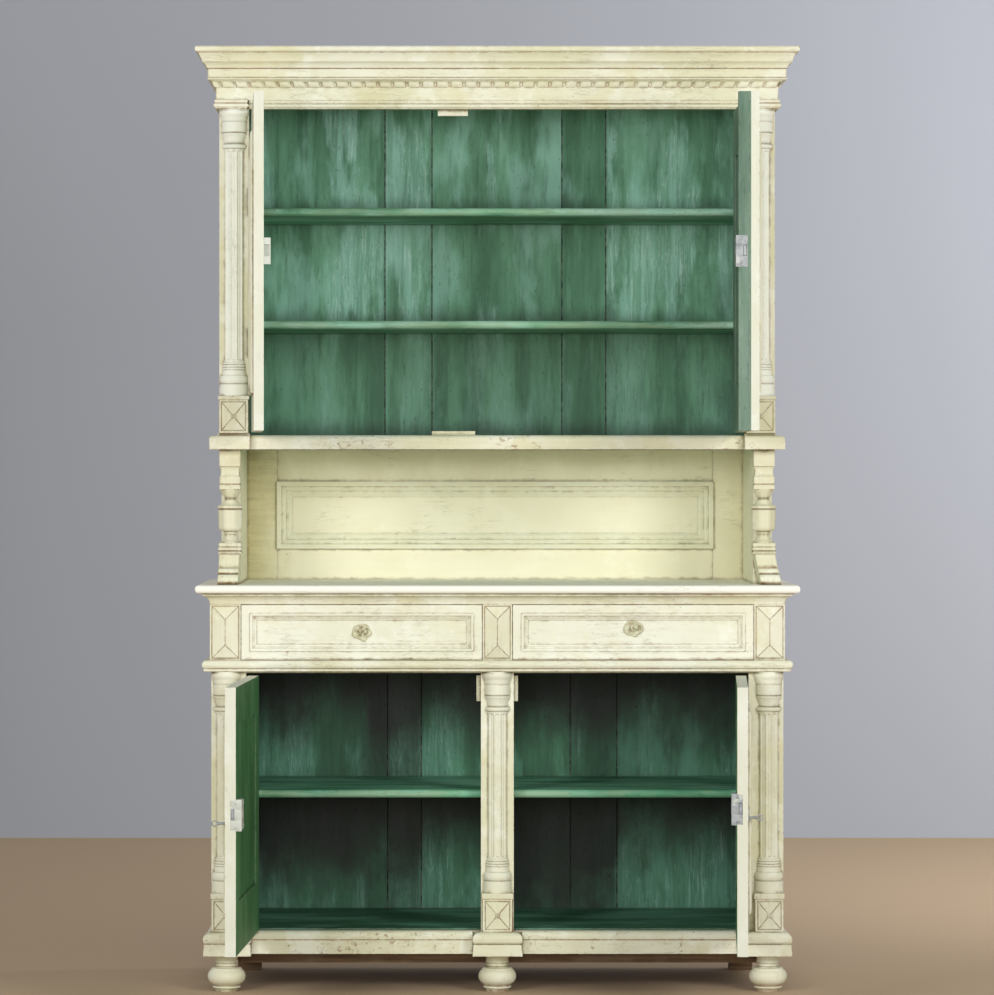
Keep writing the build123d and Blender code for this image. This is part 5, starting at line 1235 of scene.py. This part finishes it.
def upper_soot_and_shade(place):
    """Dark, cloudy bands of sooty dirt on the back boards of the upper cabinet just above each shelf and the
    floor, and painted shade down both ends; the bottom bay is a little darker throughout."""
    x, _, z = parts_of(place)
    shelves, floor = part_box("upper_shelves"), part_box("upper_top_and_floor")
    cloud = drift(place, 0.4, 12.0, 0.62)
    height = z + cloud * 0.09
    bands = either(ease(x + cloud * 0.1, *SHADE_LEFT_END), ease(x + cloud * 0.3, *SHADE_RIGHT_END))
    for top in (shelves[1][2], shelves[0][2] + UPPER_SHELF_T, floor[0][2] + UPPER_SHELF_T):
        above = ease(height, top + 60 * MM, top + 2 * MM) * calc("GREATER_THAN", z, top - 10 * MM)
        bands = either(bands, above)
    bottom = ease(height, shelves[0][2] + 20 * MM, shelves[0][2] - 40 * MM)
    return bands * 0.46 + bottom * 0.14


def upper_rubbing(place):
    """How far the green of the upper cabinet is rubbed: little below the lower shelf."""
    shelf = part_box("upper_shelves")[0][2]
    return 0.35 + ease(parts_of(place)[2], shelf - 60 * MM, shelf + 60 * MM) * 0.65


def behind(place, facing):
    """1 on the backs and the top ends of the back boards."""
    return either(rear_faces(place, facing), ease(parts_of(facing)[2], 0.5, 0.7))


def undersides(_, facing):
    """1 on faces that look down."""
    return ease(parts_of(facing)[2], -0.4, -0.6)


def outer_top(place, facing):
    """1 on the top and the rear edge of the upper cabinet's top board."""
    z = parts_of(place)[2]
    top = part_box("upper_top_and_floor")[1][2]
    rear = ease(parts_of(facing)[1], 0.4, 0.6) * ease(z, top - 50 * MM, top - 40 * MM)
    return either(ease(z, top - 3 * MM, top - 2 * MM), rear)


def niche_shade(place):
    """Painted ochre shade on the niche's back: mostly near its left end, less at the right and on top."""
    x, _, z = parts_of(place)
    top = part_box("niche_panel")[1][2]
    cloud = drift(place, 0.4, 9.0, 0.6)
    left = ease(x + cloud * 0.15, *NICHE_LEFT) * 0.85
    right = ease(x + cloud * 0.15, *NICHE_RIGHT) * 0.45
    upper = ease(z + cloud * 0.25, top - 90 * MM, top) * 0.25
    return either(either(left, right), upper)


def fairer_niche(place):
    """How much fairer the niche's back is: most near its top, where little light comes."""
    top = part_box("niche_panel")[1][2]
    return 0.65 + ease(parts_of(place)[2], top - 200 * MM, top - 50 * MM) * 0.35


def column_painted_light(place):
    """How much paler the columns are painted, as painted light: most on those of the upper cabinet."""
    return 0.2 + ease(parts_of(place)[2], *UPPER_COLUMNS) * 0.8


def paint_frame(level, iron):
    """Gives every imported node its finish: level cream paint where nothing else is said."""
    bare = wood_material("bare_wood_level", "X")
    blocks = cream_material("cream_worn_blocks", "X", wear=1.0, chips=0.9)
    drawers = cream_material("cream_drawer_fronts", "X", wear=0.7, chips=0.2, grime=1.2, lift=0.35)
    finishes = {
        "base_face_frame": cream_material("cream_base_frame", "Z", base_rails),
        "upper_face_frame": cream_material("cream_upper_frame", "Z", upper_rails),
        "base_sides": side_material("base_sides_paint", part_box("base_sides")[1][0] - SIDE_T,
                                    0.62, DEEP_GREENS),
        "upper_sides": side_material("upper_sides_paint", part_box("upper_sides")[1][0] - SIDE_T,
                                     0.0, OPEN_GREENS),
        "base_back_boards": green_material("green_base_back", "Z", base_shade_and_soot, behind, BASE_SEAMS,
                                           DEEP_GREENS, rubbed=0.7),
        "upper_back_boards": green_material("green_upper_back", "Z", upper_soot_and_shade, behind, UPPER_SEAMS,
                                            rubbed=upper_rubbing),
        "base_floor": green_material("green_base_floor", "X", 0.15, undersides, greens=DEEP_GREENS),
        "base_shelf": green_material("green_base_shelf", "X", greens=SHELF_GREENS, front=0.45),
        "upper_top_and_floor": green_material("green_upper_boards", "X", bare=outer_top),
        "upper_shelves": green_material("green_shelves", "X", front=0.35),
        "shelf_battens": green_material("green_battens", "Y", 0.2),
        # the bracket boards are painted paler as painted light on their shaded inner sides
        "bracket_boards": cream_material("cream_deep", "Y", wear=0.4, lift=0.75, fair=FAIR_WARM),
        "front_feet": cream_material("cream_feet", "X"),
        "countertop": cream_material("cream_counter", "X", wear=0.5, grime=0.6, lift=0.95,
                                     fair=FAIR_COUNTER),
        "niche_panel": cream_material("cream_niche", "X", grime=0.7, lift=fairer_niche, fair=FAIR_NICHE,
                                      warm=niche_shade),
        "niche_moulding": cream_material("cream_niche_moulding", "X", grime=1.4, lift=0.5,
                                         fair=FAIR_YELLOW),
        "base_plinth_blocks": blocks, "upper_plinth_blocks": blocks, "aprons": blocks,
        "left_drawer_front": drawers, "right_drawer_front": drawers,
        "left_drawer_box": bare, "right_drawer_box": bare, "drawer_runners": bare,
        "rear_feet_and_bearers": bare, "frame_hinge_leaves": iron,
    }
    for door, *paints in DOOR_PAINTS:
        finishes[door + "_frame"] = finishes[door + "_panel"] = door_material(door, *paints)
        for part in ("_ironwork", "_bolt", "_key"):
            finishes[door + part] = iron
    finishes["upper_left_door_ironwork"] = iron_material("painted_iron", 0.55)
    for name, packed in frame["nodes"].items():
        packed.data.materials.clear()
        packed.data.materials.append(finishes.get(name, level))


# ---------------------------------------------------------------- make everything
set_camera()
set_room()
CREAM_LEVEL = cream_material("cream_level", "X", wear=1.0, chips=0.25)
# the columns are painted paler, as painted light
COLUMN = cream_material("cream_columns", "Z", grime=0.7, lift=column_painted_light, carved=0.7)
CARVED = cream_material("cream_carved", "Z", wear=0.8, chips=0.4, carved=0.28)
TURNED = cream_material("cream_turned", "Z", wear=0.9, chips=0.5, grime=1.15, carved=0.8)
CAST = cream_material("painted_casting", "Z", wear=1.0, chips=0.4, lift=0.6, fair=FAIR_CASTING, carved=0.5)
IRON = iron_material("worn_iron")
PALE_IRON = iron_material("painted_lock", 0.45)
paint_frame(CREAM_LEVEL, IRON)
columns(COLUMN)
cut_blocks(CARVED)
dentils(CREAM_LEVEL)
hips(CARVED)
brackets(TURNED)
locks(IRON, PALE_IRON)
rosette("left_cast_rosette", "left_drawer", CAST, 5, 3.0)
rosette("right_cast_rosette", "right_drawer", CAST, 3, -4.0)
